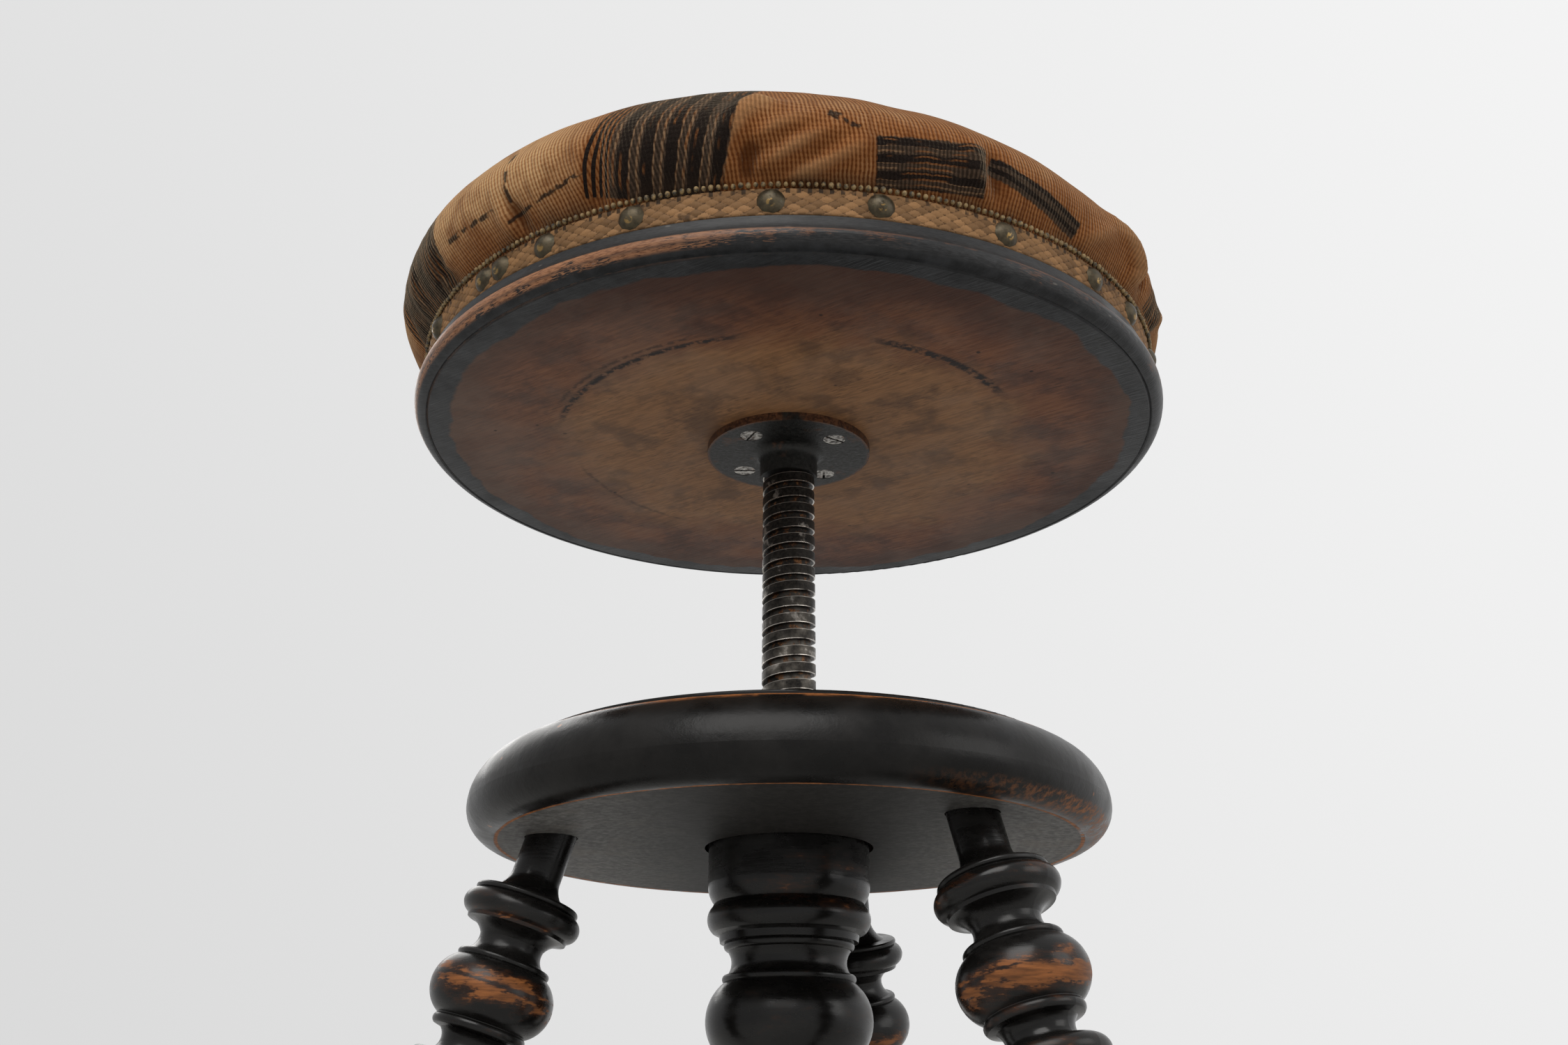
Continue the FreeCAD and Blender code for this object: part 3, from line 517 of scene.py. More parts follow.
def cloth_places(points):
    """Bearing in degrees and distance up the cloth from the braid in millimetres, for each point"""
    board = node_foot("seat_board") / MM
    x, y, z = (points / MM).T
    bearing = np.degrees(np.arctan2(y, x))
    reach = np.hypot(x, y)
    height = z - board
    up = np.zeros(len(points))
    for low in range(-180, 180, 3):
        inside = (bearing >= low) & (bearing < low + 3.0001)
        if not inside.any():
            continue
        section = smooth_section(section_at(low + 1.5), 520)
        lengths = run(section)
        away = (reach[inside, None] - section[None, :, 0]) ** 2
        away += (height[inside, None] - section[None, :, 1]) ** 2
        up[inside] = lengths[away.argmin(1)] - np.interp(BRAID_TOP, section[:80, 1], lengths[:80])
    return bearing, up, height


# Creases of the cloth: width and depth in millimetres, then their bearings and distances up
CREASES = (
    (4.4, 3.6, ((-93.6, 7.0), (-89.5, 16.0), (-85.2, 22.5))),
    (4.2, 3.2, ((-91.4, 2.5), (-86.1, 9.5), (-80.6, 18.5))),
    (4.0, 2.6, ((-94.6, 18.0), (-91.2, 23.5), (-86.6, 28.0))),
    (3.6, -2.4, ((-92.6, 4.5), (-87.8, 12.5), (-83.0, 20.0))),
    (3.6, -2.0, ((-94.2, 13.0), (-90.4, 19.5), (-86.0, 25.0))),
    (5.2, 4.4, ((-97.6, 20.0), (-96.2, 29.0), (-94.0, 35.0), (-91.8, 33.0))),
    (3.6, -3.4, ((-95.4, 3.0), (-95.2, 12.0), (-94.8, 20.0))),
    (5.0, 2.4, ((-98.6, 5.0), (-98.8, 16.0), (-98.4, 26.0))),
    (3.8, -2.6, ((-115.6, 4.0), (-114.6, 18.0), (-114.2, 34.0))),
    (4.4, 1.6, ((-117.6, 6.0), (-116.8, 18.0), (-116.4, 30.0))),
    (3.6, -3.0, ((-128.8, 17.0), (-128.0, 5.0))),
    (4.0, 1.8, ((-130.6, 16.0), (-130.0, 5.0))),
    (4.0, -3.0, ((-64.2, 25.0), (-63.6, 17.0), (-61.8, 8.0))),
    (4.6, 3.0, ((-66.6, 25.0), (-66.0, 16.0), (-64.2, 9.0))),
    (5.6, 4.8, ((-38.5, 27.0), (-34.0, 22.0), (-31.2, 15.0), (-32.5, 7.0))),
    (4.4, -3.6, ((-31.5, 26.0), (-28.2, 19.0), (-27.6, 9.0))),
    (4.6, 2.0, ((-47.0, 6.0), (-43.0, 13.0), (-39.5, 21.0))),
    (4.4, -2.2, ((-146.0, 19.0), (-147.6, 11.0), (-144.6, 4.0))),
    (4.6, 1.8, ((-158.0, 5.0), (-157.0, 16.0), (-155.0, 27.0))),
    (4.4, -1.8, ((-168.0, 5.0), (-166.0, 15.0), (-164.0, 26.0))),
    (4.6, 2.2, ((-20.0, 4.0), (-17.0, 14.0), (-12.0, 22.0))),
    (4.6, -2.4, ((4.0, 5.0), (8.0, 14.0), (9.0, 24.0))),
    (4.6, 2.2, ((38.0, 5.0), (42.0, 15.0), (48.0, 22.0))),
    (4.6, -2.2, ((70.0, 4.0), (71.0, 14.0), (69.0, 24.0))),
    (4.6, 2.2, ((96.0, 5.0), (92.0, 14.0), (91.0, 22.0))),
    (4.6, -2.4, ((128.0, 4.0), (131.0, 16.0), (130.0, 25.0))),
    (4.6, 2.2, ((162.0, 5.0), (158.0, 15.0), (157.0, 24.0))),
)


def crease_height(bearing, up):
    """How far the creases and gathers move the cloth, in millimetres"""
    height = np.zeros(len(bearing))
    for width, depth, line in CREASES:
        nearest = np.full(len(bearing), 1e9)
        fade = np.ones(len(bearing))
        lengths = len(line) - 1
        for index in range(lengths):
            (a_bearing, a_up), (b_bearing, b_up) = line[index], line[index + 1]
            start = np.array((a_bearing * CLOTH_DEGREE, a_up))
            step = np.array((b_bearing * CLOTH_DEGREE, b_up)) - start
            around = bearing * CLOTH_DEGREE - start[0]
            share = np.clip((around * step[0] + (up - start[1]) * step[1]) / (step @ step), 0, 1)
            away = np.hypot(around - share * step[0], up - start[1] - share * step[1])
            nearer = away < nearest
            nearest = np.where(nearer, away, nearest)
            place = (index + share) / lengths
            fade = np.where(nearer, np.sin(np.pi * np.clip(place * 0.86 + 0.07, 0, 1)) ** 0.6, fade)
        height += depth * fade * np.exp(-((nearest / width) ** 2))
    rad = np.radians(bearing)
    gathers = np.sin(29 * rad + 2.2 * np.sin(3 * rad)) + 0.6 * np.sin(47 * rad + 1.7 * np.sin(5 * rad))
    height += 0.55 * gathers * np.clip(1 - up / 19, 0, 1) * np.clip(up / 3, 0, 1)
    return height


def crease_cloth(piece):
    """Works the creases, gathers and settled lumps into the stuffed seat"""
    points = read(piece.data.vertices, "co")
    normals = read(piece.data.vertices, "normal")
    bearing, up, height = cloth_places(points)
    lumps = np.array([noise.noise(Vector(p) * 18) + 0.5 * noise.noise(Vector(p) * 41) for p in points])
    shown = np.clip(up / 6, 0, 1)
    folds = crease_height(bearing, up) * np.clip(up / 4, 0, 1)
    moved = folds + 0.9 * lumps * shown
    moved *= height > SEAT_HOOPS[0][0] + 0.5
    points += normals * moved[:, None] * MM
    piece.data.vertices.foreach_set("co", points.ravel())
    piece.data.update()
    store(piece, "up", up)
    store(piece, "fold", folds)


def pattern_block(f, around, up, centre, size, lean, ragged, rough):
    """A block of the pattern: 1 inside it, and the places across and along its own stripes"""
    x = f.less(around, centre[0] * CLOTH_DEGREE)
    y = f.less(up, centre[1])
    turn = math.radians(lean)
    across = f.less(f.times(x, math.cos(turn)), f.times(y, math.sin(turn)))
    along = f.add(f.times(x, math.sin(turn)), f.times(y, math.cos(turn)))
    fray = f.times(f.less(rough, 0.5), ragged)
    side = f.add(f.math("ABSOLUTE", across), fray)
    end = f.add(f.math("ABSOLUTE", along), fray)
    inside = f.times(
        f.ease(side, size[0] - 0.4, size[0] + 0.4, 1.0, 0.0),
        f.ease(end, size[1] - 0.4, size[1] + 0.4, 1.0, 0.0),
    )
    return inside, across, along


def stripes(f, across, period, phase=0.0):
    """A wave from 0 to 1 that repeats over the period"""
    turn = f.times(f.add(across, phase), 2 * math.pi / period)
    return f.add(f.times(f.math("SINE", turn), 0.5), 0.5)


def moquette(sizes):
    """Ribbed cut pile: an ochre ground with blocks of dark stripes"""
    f = Finish("moquette")
    up = f.attribute("up")
    around = f.times(f.bearing(), CLOTH_DEGREE)
    rough = f.grain(1.6, detail=3.0)
    wander = f.grain(14.0, detail=2.0)
    x, y, _ = f.split(f.place)

    # Ribs of the pile, uneven and combed a little aslant
    slanted = f.add(around, f.times(up, 0.12), f.times(wander, 2.2))
    rib = stripes(f, slanted, sizes.rib_width / MM)
    flat_rib = stripes(f, f.add(x, f.times(y, 0.12), f.times(wander, 2.2)), sizes.rib_width / MM)
    top = f.ease(up, 58.0, 66.0)
    rib = f.add(f.times(rib, f.inverse(top)), f.times(flat_rib, top))
    pile = f.grain(0.55, detail=2.0, roughness=0.7)
    weft = stripes(f, f.add(up, f.times(wander, 2.0)), sizes.rib_width / MM * 1.3)
    tuft = f.add(f.times(rib, 0.42), f.times(weft, 0.12), f.times(pile, 0.46))
    fold = f.attribute("fold")

    worn = f.grain(26.0, detail=5.0, roughness=0.6)
    ground = f.blend(tuft, 0.25, 0.75, sizes.valley, sizes.ground)
    # Painted sheen: on the left and on the right of the side the ochre is painted lighter, higher up and in
    # patches, where the pile catches the light
    sheen_lit_ground = f.blend(tuft, 0.22, 0.7, sizes.ground, (0.56, 0.36, 0.18))
    painted_sheen = f.math("MAXIMUM", f.ease(around, -330.0, -372.0), f.ease(around, -70.0, -20.0))
    painted_sheen = f.times(painted_sheen, f.ease(up, 3.0, 26.0), f.ease(worn, 0.25, 0.5))
    ground = f.over(ground, sheen_lit_ground, painted_sheen, 0.85)
    # Faded ochre, for worn patches and for the painted highlight on the crease ridges
    faded_and_lit_ochre = (0.4, 0.235, 0.115)
    ground = f.over(ground, faded_and_lit_ochre, f.ease(worn, 0.5, 0.72), f.ease(tuft, 0.3, 0.7), 0.55)
    column = f.grain(2.6, detail=3.0, place=f.join(around, f.times(up, 0.08), 0.0))
    ground = f.over(ground, sizes.valley, f.ease(column, 0.52, 0.66), 0.4)
    ground = f.over(ground, sizes.valley, f.ease(worn, 0.5, 0.3), 0.5)
    # Painted shade down in the creases, and a painted highlight along their ridges
    ground = f.over(ground, shade(sizes.valley, 0.6), f.ease(fold, -0.3, -2.2), 0.75)
    ground = f.over(ground, faded_and_lit_ochre, f.ease(fold, 0.8, 3.4), 0.35)

    dark = f.blend(pile, 0.3, 0.75, sizes.stripe, shade(sizes.stripe, 2.2))
    grey = f.blend(tuft, 0.3, 0.8, shade(sizes.charcoal, 0.35), sizes.charcoal)
    orange = f.blend(tuft, 0.2, 0.7, sizes.valley, shade(sizes.ground, 0.8))
    tan = f.blend(tuft, 0.25, 0.7, (0.075, 0.038, 0.019), (0.24, 0.145, 0.08))
    cloth = ground

    def striped(cloth, inside, across, dull, fine, period):
        """Fills a block: charcoal bars between black ones, and thin lines at its near side"""
        bent = f.add(across, f.times(f.less(wander, 0.5), 3.0))
        bars = f.ease(stripes(f, bent, period), 0.44, 0.56)
        inlay = f.ease(stripes(f, bent, period / 3.0, 0.6), 0.7, 0.82)
        fill = f.mix(bars, dark, grey)
        fill = f.over(fill, tan, inlay, bars, f.ease(worn, 0.44, 0.52), 0.8)
        fill = f.over(fill, orange, inlay, f.ease(wander, dull, dull + 0.12), 0.6)
        edge = f.ease(across, fine, fine + 1.2, 1.0, 0.0)
        thin = f.ease(stripes(f, across, 2.6), 0.45, 0.6)
        fill = f.mix(edge, fill, f.mix(thin, dark, orange))
        return f.mix(inside, cloth, fill)

    # Blocks round the side of the seat
    side = f.ease(up, 62.0, 64.0, 1.0, 0.0)
    for centre, size, lean, fine, period in (
        ((-156.6, 24.0), (33.0, 21.0), 4.0, -27.0, 7.6),
        ((-105.6, 34.0), (28.2, 35.0), 14.0, -18.0, 9.2),
        ((-71.8, 13.6), (10.2, 22.0), 84.0, -30.0, 6.4),
        ((-20.0, 24.0), (9.0, 19.0), 10.0, -5.0, 6.0),
        ((12.0, 34.0), (27.0, 35.0), -12.0, -18.0, 9.2),
        ((52.0, 15.0), (10.0, 24.0), 90.0, -30.0, 6.4),
        ((86.0, 34.0), (27.0, 35.0), 10.0, -18.0, 9.2),
        ((128.0, 14.0), (10.0, 26.0), 92.0, -30.0, 6.4),
        ((160.0, 33.0), (24.0, 35.0), -8.0, -16.0, 8.4),
    ):
        inside, across, along = pattern_block(f, around, up, centre, size, lean, 1.8, rough)
        cloth = striped(cloth, f.times(inside, side), across, 0.5, fine, period)

    # Wide faded band from the pleat to the right, over plain ribbed ground
    inside, across, along = pattern_block(f, around, up, (-55.8, 14.4), (25.0, 4.0), 13.4, 1.6, rough)
    band = f.blend(stripes(f, along, 4.0), 0.4, 0.6, dark, grey)
    cloth = f.mix(inside, cloth, band)

    # Lines and small marks between the blocks
    for centre, size, lean in (
        ((-137.0, 17.6), (16.0, 1.1), 2.0),
        ((-123.0, 13.6), (21.0, 0.9), -10.0),
        ((-128.6, 30.0), (0.9, 13.0), 2.0),
        ((-83.4, 26.6), (6.4, 1.1), 24.0),
        ((-84.2, 29.4), (3.4, 1.0), 24.0),
        ((30.0, 17.0), (18.0, 1.0), 3.0),
        ((108.0, 18.0), (16.0, 1.0), -3.0),
        ((144.0, 24.0), (0.9, 12.0), 4.0),
    ):
        inside, across, along = pattern_block(f, around, up, centre, size, lean, 1.0, rough)
        broken = f.ease(f.grain(4.2, detail=1.0), 0.4, 0.52)
        cloth = f.over(cloth, dark, inside, broken, 0.9)

    # Broad bands across the top, inside a plain border
    crown = f.ease(up, 74.0, 75.5)
    for place, width, period in (
        (-92.0, 15.0, 7.6),
        (-38.0, 27.0, 9.2),
        (40.0, 24.0, 9.2),
        (98.0, 14.0, 7.6),
    ):
        offset = f.add(f.less(x, place), f.times(y, 0.12))
        reach = f.add(f.math("ABSOLUTE", offset), f.times(f.less(rough, 0.5), 1.8))
        inside = f.ease(reach, width - 0.4, width + 0.4, 1.0, 0.0)
        cloth = striped(cloth, f.times(inside, crown), offset, 0.5, -width * 0.66, period)
    thread = f.times(f.band(up, 69.6, 71.0, 0.3), f.ease(f.grain(5.0, detail=1.0), 0.36, 0.48))
    cloth = f.over(cloth, dark, thread, 0.85)

    # Darker in patches low down, just over the braid
    grime = f.times(f.ease(up, 0.0, 11.0, 0.75, 0.0), f.ease(worn, 0.3, 0.7))
    cloth = f.mix(grime, cloth, (0.02, 0.011, 0.006))
    f.set(Base_Color=cloth, Roughness=0.96)
    f.set(Sheen_Weight=0.3, Sheen_Roughness=0.35, Sheen_Tint=(0.9, 0.72, 0.5), Specular_IOR_Level=0.08)
    f.set(Normal=f.bump(tuft, 0.75, f.bump(f.grain(7.0, detail=3.0), 0.9)))
    return f.material


# How much longer than high a crossing of the braid is, and how far things stand out from its faces
BRAID_SLOPE = 1.7
BRAID_THICKNESS = 0.0022
STRAND_OUT = 0.0003
BEADS_OUT = 0.0006
BEADS_UP = 0.0003


def weave_pitch(sizes):
    """Width in millimetres that one crossing takes up round the braid, a whole number of times"""
    pitch = sizes.strand_width / MM * math.sqrt(2)
    girth = 2 * math.pi * CLOTH_RADIUS / BRAID_SLOPE
    return girth / round(girth / pitch)


def straw_braid(sizes):
    """Straw strands, each a little different, with painted shade in the low places of the weave, dark bars
    and stains
    """
    f = Finish("gimp_straw")
    _, _, z = f.split(f.place)
    around = f.times(f.bearing(), CLOTH_DEGREE)
    level = f.less(z, node_foot("gimp_braid") / MM)
    pitch = weave_pitch(sizes)
    drawn = f.times(around, 1 / BRAID_SLOPE)
    first = f.math("DIVIDE", f.add(drawn, level), pitch)
    second = f.math("DIVIDE", f.less(drawn, level), pitch)
    cells = f.join(f.math("FLOOR", first), f.math("FLOOR", second), 0.0)
    speckle = f.node("TexWhiteNoise", {"Vector": cells}, noise_dimensions="2D")
    height = f.attribute("relief")
    straw = sizes.straw
    colour = f.mix(speckle.outputs["Value"], shade(straw, 0.6), shade(straw, 1.25))
    # Painted shade in the low places of the weave, between and under the strands
    colour = f.mix(f.ease(height, 0.05, 0.6, 1.0, 0.0), colour, (0.035, 0.016, 0.006))
    bars = f.times(
        f.band(level, 9.8, 12.6, 0.4),
        f.ease(stripes(f, around, 4.2), 0.6, 0.72),
        f.ease(f.grain(9.0, detail=2.0), 0.38, 0.5),
    )
    colour = f.over(colour, (0.022, 0.015, 0.01), bars, 0.85)
    stains = f.times(f.ease(f.grain(17.0, detail=3.0), 0.6, 0.67), f.ease(f.grain(3.0), 0.3, 0.6), 0.7)
    colour = f.mix(stains, colour, (0.02, 0.012, 0.008))
    grime = f.times(f.ease(level, 0.0, 1.6, 0.6, 0.0), f.ease(f.grain(6.0), 0.4, 0.6))
    colour = f.mix(grime, colour, (0.03, 0.018, 0.01))
    fibre = f.grain(0.35, detail=3.0, roughness=0.7)
    f.set(Base_Color=f.over(f.scale(colour, 0.6), colour, f.ease(fibre, 0.35, 0.7), 0.35))
    f.set(Roughness=f.ease(fibre, 0.2, 0.8, 0.5, 0.8), Normal=f.bump(fibre, 0.12))
    f.set(Specular_IOR_Level=0.15)
    return f.material


def picot_thread():
    """Dark olive thread with gold glints, sooty in places"""
    f = Finish("gimp_picot")
    speck = f.grain(2.2, detail=3.0)
    colour = f.blend(speck, 0.35, 0.6, (0.025, 0.019, 0.009), (0.24, 0.16, 0.065))
    soot = f.times(f.ease(f.grain(21.0, detail=2.0), 0.56, 0.66), 0.8)
    colour = f.mix(soot, colour, (0.012, 0.009, 0.006))
    f.set(Base_Color=colour, Roughness=0.62, Normal=f.bump(f.grain(0.5, detail=2.0), 0.12))
    return f.material


def braid_mesh(sizes, inner, outer, foot, top):
    """Points and faces of the woven band, and how high each point stands in the weave"""
    fine = 2600
    rows = 34
    height = (top - foot) / MM
    turn = np.arange(fine) * 2 * np.pi / fine
    around = turn * CLOTH_RADIUS
    level = np.linspace(0.35, height - 0.35, rows)
    pitch = weave_pitch(sizes)
    first = (around[:, None] / BRAID_SLOPE + level[None, :]) / pitch
    second = (around[:, None] / BRAID_SLOPE - level[None, :]) / pitch
    over = (np.floor(first) + np.floor(second)) % 2 == 0
    p = first % 1
    q = second % 1
    crown_p = np.sqrt(np.clip(1 - (2 * p - 1) ** 2, 0, 1))
    crown_q = np.sqrt(np.clip(1 - (2 * q - 1) ** 2, 0, 1))
    weave = np.where(over, crown_p * (0.45 + 0.55 * crown_q), crown_q * (0.45 + 0.55 * crown_p))
    edge = np.minimum(level, height - level) / 0.9
    selvedge = np.clip(edge, 0, 1)[None, :]
    sway = 0.35 * np.sin(turn * 31) + 0.25 * np.sin(turn * 53 + 1)
    reach = outer / MM - 0.75 + (weave * sizes.strand_relief / MM) * selvedge - 0.35 * (1 - selvedge)
    lift = level[None, :] + 0.12 * sway[:, None] * (level[None, :] / height)
    ring_radius = np.c_[reach, np.full((fine, 2), inner / MM)]
    ring_level = np.c_[lift, np.full((fine, 1), height - 0.2), np.full((fine, 1), 0.2)]
    x = ring_radius * np.cos(turn)[:, None]
    y = ring_radius * np.sin(turn)[:, None]
    z = ring_level + foot / MM
    points = np.stack((x, y, z), axis=2).reshape(-1, 3) * MM
    columns = rows + 2
    faces = []
    for spoke in range(fine):
        following = (spoke + 1) % fine
        for column in range(columns):
            nearby = (column + 1) % columns
            a = spoke * columns + column
            b = following * columns + column
            c = following * columns + nearby
            d = spoke * columns + nearby
            faces.append((a, b, c, d))
    relief = np.c_[weave, np.zeros((fine, 2))].reshape(-1)
    return points, faces, relief


def picot_beads(sizes, radius, level):
    """Points and faces of the small thread loops along the braid's top edge"""
    count = round(2 * math.pi * radius / sizes.picot_pitch)
    around = 8
    rings = 5
    rng = np.random.default_rng(7)
    points = []
    faces = []
    for index in range(count):
        turn = 2 * math.pi * index / count
        size = sizes.picot_size / 2 * (0.86 + 0.28 * rng.random())
        centre = Vector((math.cos(turn), math.sin(turn), 0)) * (radius + 0.0003 * (rng.random() - 0.5))
        centre.z = level + 0.0003 * (rng.random() - 0.5)
        out = Vector((math.cos(turn), math.sin(turn), 0))
        side = Vector((-math.sin(turn), math.cos(turn), 0))
        first = len(points)
        for ring in range(rings):
            tilt = math.pi * (ring + 0.5) / rings - math.pi / 2
            for step in range(around):
                angle = 2 * math.pi * step / around
                across = math.cos(tilt) * math.cos(angle)
                rise = math.cos(tilt) * math.sin(angle)
                place = centre + side * (size * 0.95 * across) + Vector((0, 0, size * 1.1 * rise))
                points.append(place + out * (size * math.sin(tilt)))
        for ring in range(rings - 1):
            for step in range(around):
                following = (step + 1) % around
                a = first + ring * around
                faces.append((a + step, a + following, a + around + following, a + around + step))
        faces.append([first + step for step in reversed(range(around))])
        faces.append([first + (rings - 1) * around + step for step in range(around)])
    return points, faces


def nail_brass(colour):
    """Tarnished brass, rubbed to gold where each dome stands out most"""
    f = Finish("nail_brass")
    x, y, _ = f.split(f.place)
    facing = f.vector("DOT_PRODUCT", f.facing, f.outward())
    low_spot = f.vector("DOT_PRODUCT", f.facing, f.vector("NORMALIZE", f.join(x, y, -62.0)))
    cloudy = f.grain(2.6, detail=4.0)
    base = f.blend(cloudy, 0.35, 0.65, shade(colour, 0.5), tuple(colour))
    verdigris = f.times(f.ease(f.grain(1.4, detail=3.0), 0.52, 0.68), 0.5)
    base = f.mix(verdigris, base, (0.05, 0.05, 0.03))
    rubbed = f.times(f.ease(low_spot, 0.955, 0.985), f.ease(f.grain(2.2, detail=3.0), 0.42, 0.54))
    base = f.over(base, (0.36, 0.22, 0.07), rubbed, 0.6)
    base = f.blend(facing, 0.62, 0.25, base, (0.02, 0.012, 0.007))
    f.set(Base_Color=base, Metallic=0.75)
    f.set(Roughness=f.mix(rubbed, f.ease(cloudy, 0.3, 0.7, 0.34, 0.6), (0.26, 0.26, 0.26)))
    f.set(Normal=f.bump(f.grain(0.9, detail=3.0), 0.1))
    return f.material


def seat_board_finish(finishes):
    """Stained and varnished board: slate band, rubbed bead, painted ring and bare brown underside"""
    f = Finish("seat_board_wood")
    x, y, z = f.split(f.place)
    radius = f.radius()
    bearing = f.bearing()
    level = f.less(z, node_foot("seat_board") / MM)
    _, _, down = f.split(f.facing)
    under = f.ease(down, -0.55, -0.8)

    # Grain of the board, short and aslant, under a varnish that has reddened towards the rim
    turn = (0.0, 0.0, math.radians(-34))
    grain = f.grain(1.2, detail=5.0, roughness=0.6, stretch=(9, 1, 4), turn=turn, twist=0.3)
    broad = f.grain(15.0, detail=3.0, stretch=(5, 1, 2), turn=turn)
    pores = f.flecks(1.2, 0.4, stretch=(5, 0.6, 3), turn=turn)
    wood = finishes.board
    brown = f.blend(grain, 0.3, 0.7, shade(wood, 0.72), shade(wood, 1.15))
    red = f.blend(grain, 0.3, 0.7, (0.07, 0.026, 0.014), (0.135, 0.054, 0.029))
    glow = f.blend(grain, 0.3, 0.7, (0.13, 0.048, 0.02), (0.2, 0.082, 0.036))
    cloud = f.grain(38.0, detail=4.0, roughness=0.6)
    blot = f.grain(24.0, detail=5.0, roughness=0.62)
    drift = f.times(f.less(cloud, 0.5), 60.0)
    outer = f.ease(f.add(radius, drift), 88.0, 122.0)
    glowing = f.times(f.band(f.add(radius, drift), 100.0, 134.0, 12.0), f.ease(blot, 0.4, 0.6))
    underside = f.mix(outer, brown, red)
    underside = f.over(underside, glow, glowing, 0.8)
    underside = f.over(underside, (0.04, 0.021, 0.014), f.ease(blot, 0.5, 0.34), 0.5)
    maroon = f.ease(f.add(radius, f.times(drift, 0.6)), 132.0, 152.0)
    underside = f.over(underside, (0.04, 0.018, 0.012), maroon, 0.6)
    underside = f.over(underside, (0.02, 0.011, 0.007), pores, f.ease(broad, 0.44, 0.56), 0.5)
    # Dust in patches, and a painted grey sheen over the left of the underside
    dust_and_sheen = f.times(f.ease(f.grain(52.0, detail=5.0, roughness=0.65), 0.4, 0.64), 0.2)
    dust_and_sheen = f.add(dust_and_sheen, f.times(f.ease(x, -50.0, -150.0), 0.16))
    underside = f.mix(dust_and_sheen, underside, (0.21, 0.155, 0.12))
    # Painted shade over the front of the underside
    front = f.times(f.ease(y, -96.0, -150.0), f.ease(f.math("ABSOLUTE", x), 130.0, 60.0), 0.6)
    underside = f.mix(front, underside, (0.035, 0.013, 0.007))

    # Smudged arcs left by the turning, and drips
    smear = f.grain(3.0, detail=4.0, stretch=(1, 1, 1))
    for first, last, start, end, depth in (
        (-167.0, -97.0, 104.2, 107.2, 0.95),
        (-160.0, -104.0, 109.0, 110.8, 0.65),
        (-75.0, -27.0, 104.6, 108.8, 0.95),
        (118.0, 172.0, 99.0, 101.2, 0.5),
    ):
        arc = f.band(f.add(radius, f.times(f.less(smear, 0.5), 3.0)), start, end, 0.9)
        arc = f.times(arc, f.ease(bearing, first, first + 9), f.ease(bearing, last - 9, last, 1.0, 0.0))
        underside = f.over(underside, (0.012, 0.01, 0.01), arc, f.ease(smear, 0.34, 0.56), depth)
    dots = f.times(f.flecks(17.0, 0.075), f.ease(cloud, 0.4, 0.6))
    underside = f.over(underside, (0.01, 0.007, 0.006), dots, 0.85)
    ring_edge = f.add(radius, f.times(f.less(f.grain(34.0, detail=2.0), 0.5), 15.0))
    ring_edge = f.add(ring_edge, f.times(f.less(f.grain(5.0, detail=3.0), 0.5), 2.6))
    ring = f.ease(ring_edge, 153.6, 155.4)
    flaking = f.grain(9.0, detail=5.0, roughness=0.7)
    paint = f.blend(flaking, 0.35, 0.7, (0.006, 0.0062, 0.007), (0.02, 0.021, 0.023))
    underside = f.mix(ring, underside, paint)

    # Edge of the board: slate band over a rubbed bead
    streak = f.grain(3.0, detail=5.0, roughness=0.65, stretch=(1, 1, 0.12))
    patch = f.grain(24.0, detail=4.0, roughness=0.6)
    slate = f.blend(streak, 0.3, 0.7, (0.008, 0.008, 0.0085), (0.028, 0.028, 0.029))
    left = f.ease(f.vector("DOT_PRODUCT", f.outward(), (-0.86, -0.51, 0.0)), 0.3, 0.96)
    rub = f.add(f.times(patch, 0.55), f.times(streak, 0.45), f.times(left, 0.13))
    arris = f.band(level, 4.2, 8.0, 1.0)
    foot = f.band(level, 0.6, 3.6, 0.8)
    line = f.times(f.band(level, 6.9, 7.7, 0.25), f.ease(patch, 0.38, 0.46), 0.7)
    rubbed = f.add(f.times(arris, f.ease(rub, 0.53, 0.57)), line)
    rubbed = f.add(rubbed, f.times(foot, f.ease(rub, 0.57, 0.61)))
    rust = f.blend(streak, 0.35, 0.6, (0.13, 0.05, 0.022), (0.33, 0.155, 0.075))
    dull_rust = f.mix(left, (0.09, 0.04, 0.022), rust)
    edge = f.mix(f.cap(f.times(rubbed, 0.9)), slate, dull_rust)
    seam = f.band(level, 7.7, 8.4, 0.25)
    edge = f.over(edge, (0.006, 0.005, 0.005), seam, 0.7)
    scrape = f.times(f.flecks(9.0, 0.11, stretch=(1.6, 1.6, 0.5)), 0.7)
    edge = f.mix(scrape, edge, (0.12, 0.11, 0.1))
    f.set(Base_Color=f.mix(under, edge, underside))
    polish = f.ease(cloud, 0.35, 0.7, 0.34, 0.5)
    f.set(Roughness=f.over(polish, (0.6, 0.6, 0.6), under, f.inverse(ring)))
    relief = f.add(f.times(grain, under), f.times(streak, f.inverse(under), 0.4))
    f.set(Normal=f.bump(relief, 0.16))
    f.set(Specular_IOR_Level=0.2)
    return f.material


def blackened_iron(finishes, rim):
    """Forged iron: dull black, rusty along its rim"""
    f = Finish("blackened_iron")
    pits = f.grain(1.6, detail=5.0, roughness=0.7)
    cloud = f.grain(11.0, detail=4.0)
    iron = finishes.iron
    colour = f.blend(pits, 0.35, 0.7, shade(iron, 0.6), shade(iron, 1.5))
    edge = f.ease(f.radius(), rim - 1.6, rim - 0.3)
    rust = f.blend(pits, 0.4, 0.6, (0.05, 0.018, 0.008), (0.16, 0.065, 0.026))
    rusty = f.add(f.times(edge, f.ease(cloud, 0.36, 0.52)), f.times(f.ease(cloud, 0.6, 0.7), 0.45))
    colour = f.over(colour, rust, f.cap(rusty), 0.8)
    f.set(Base_Color=colour, Metallic=0.55, Roughness=f.ease(pits, 0.3, 0.7, 0.4, 0.62))
    f.set(Normal=f.bump(pits, 0.22))
    return f.material


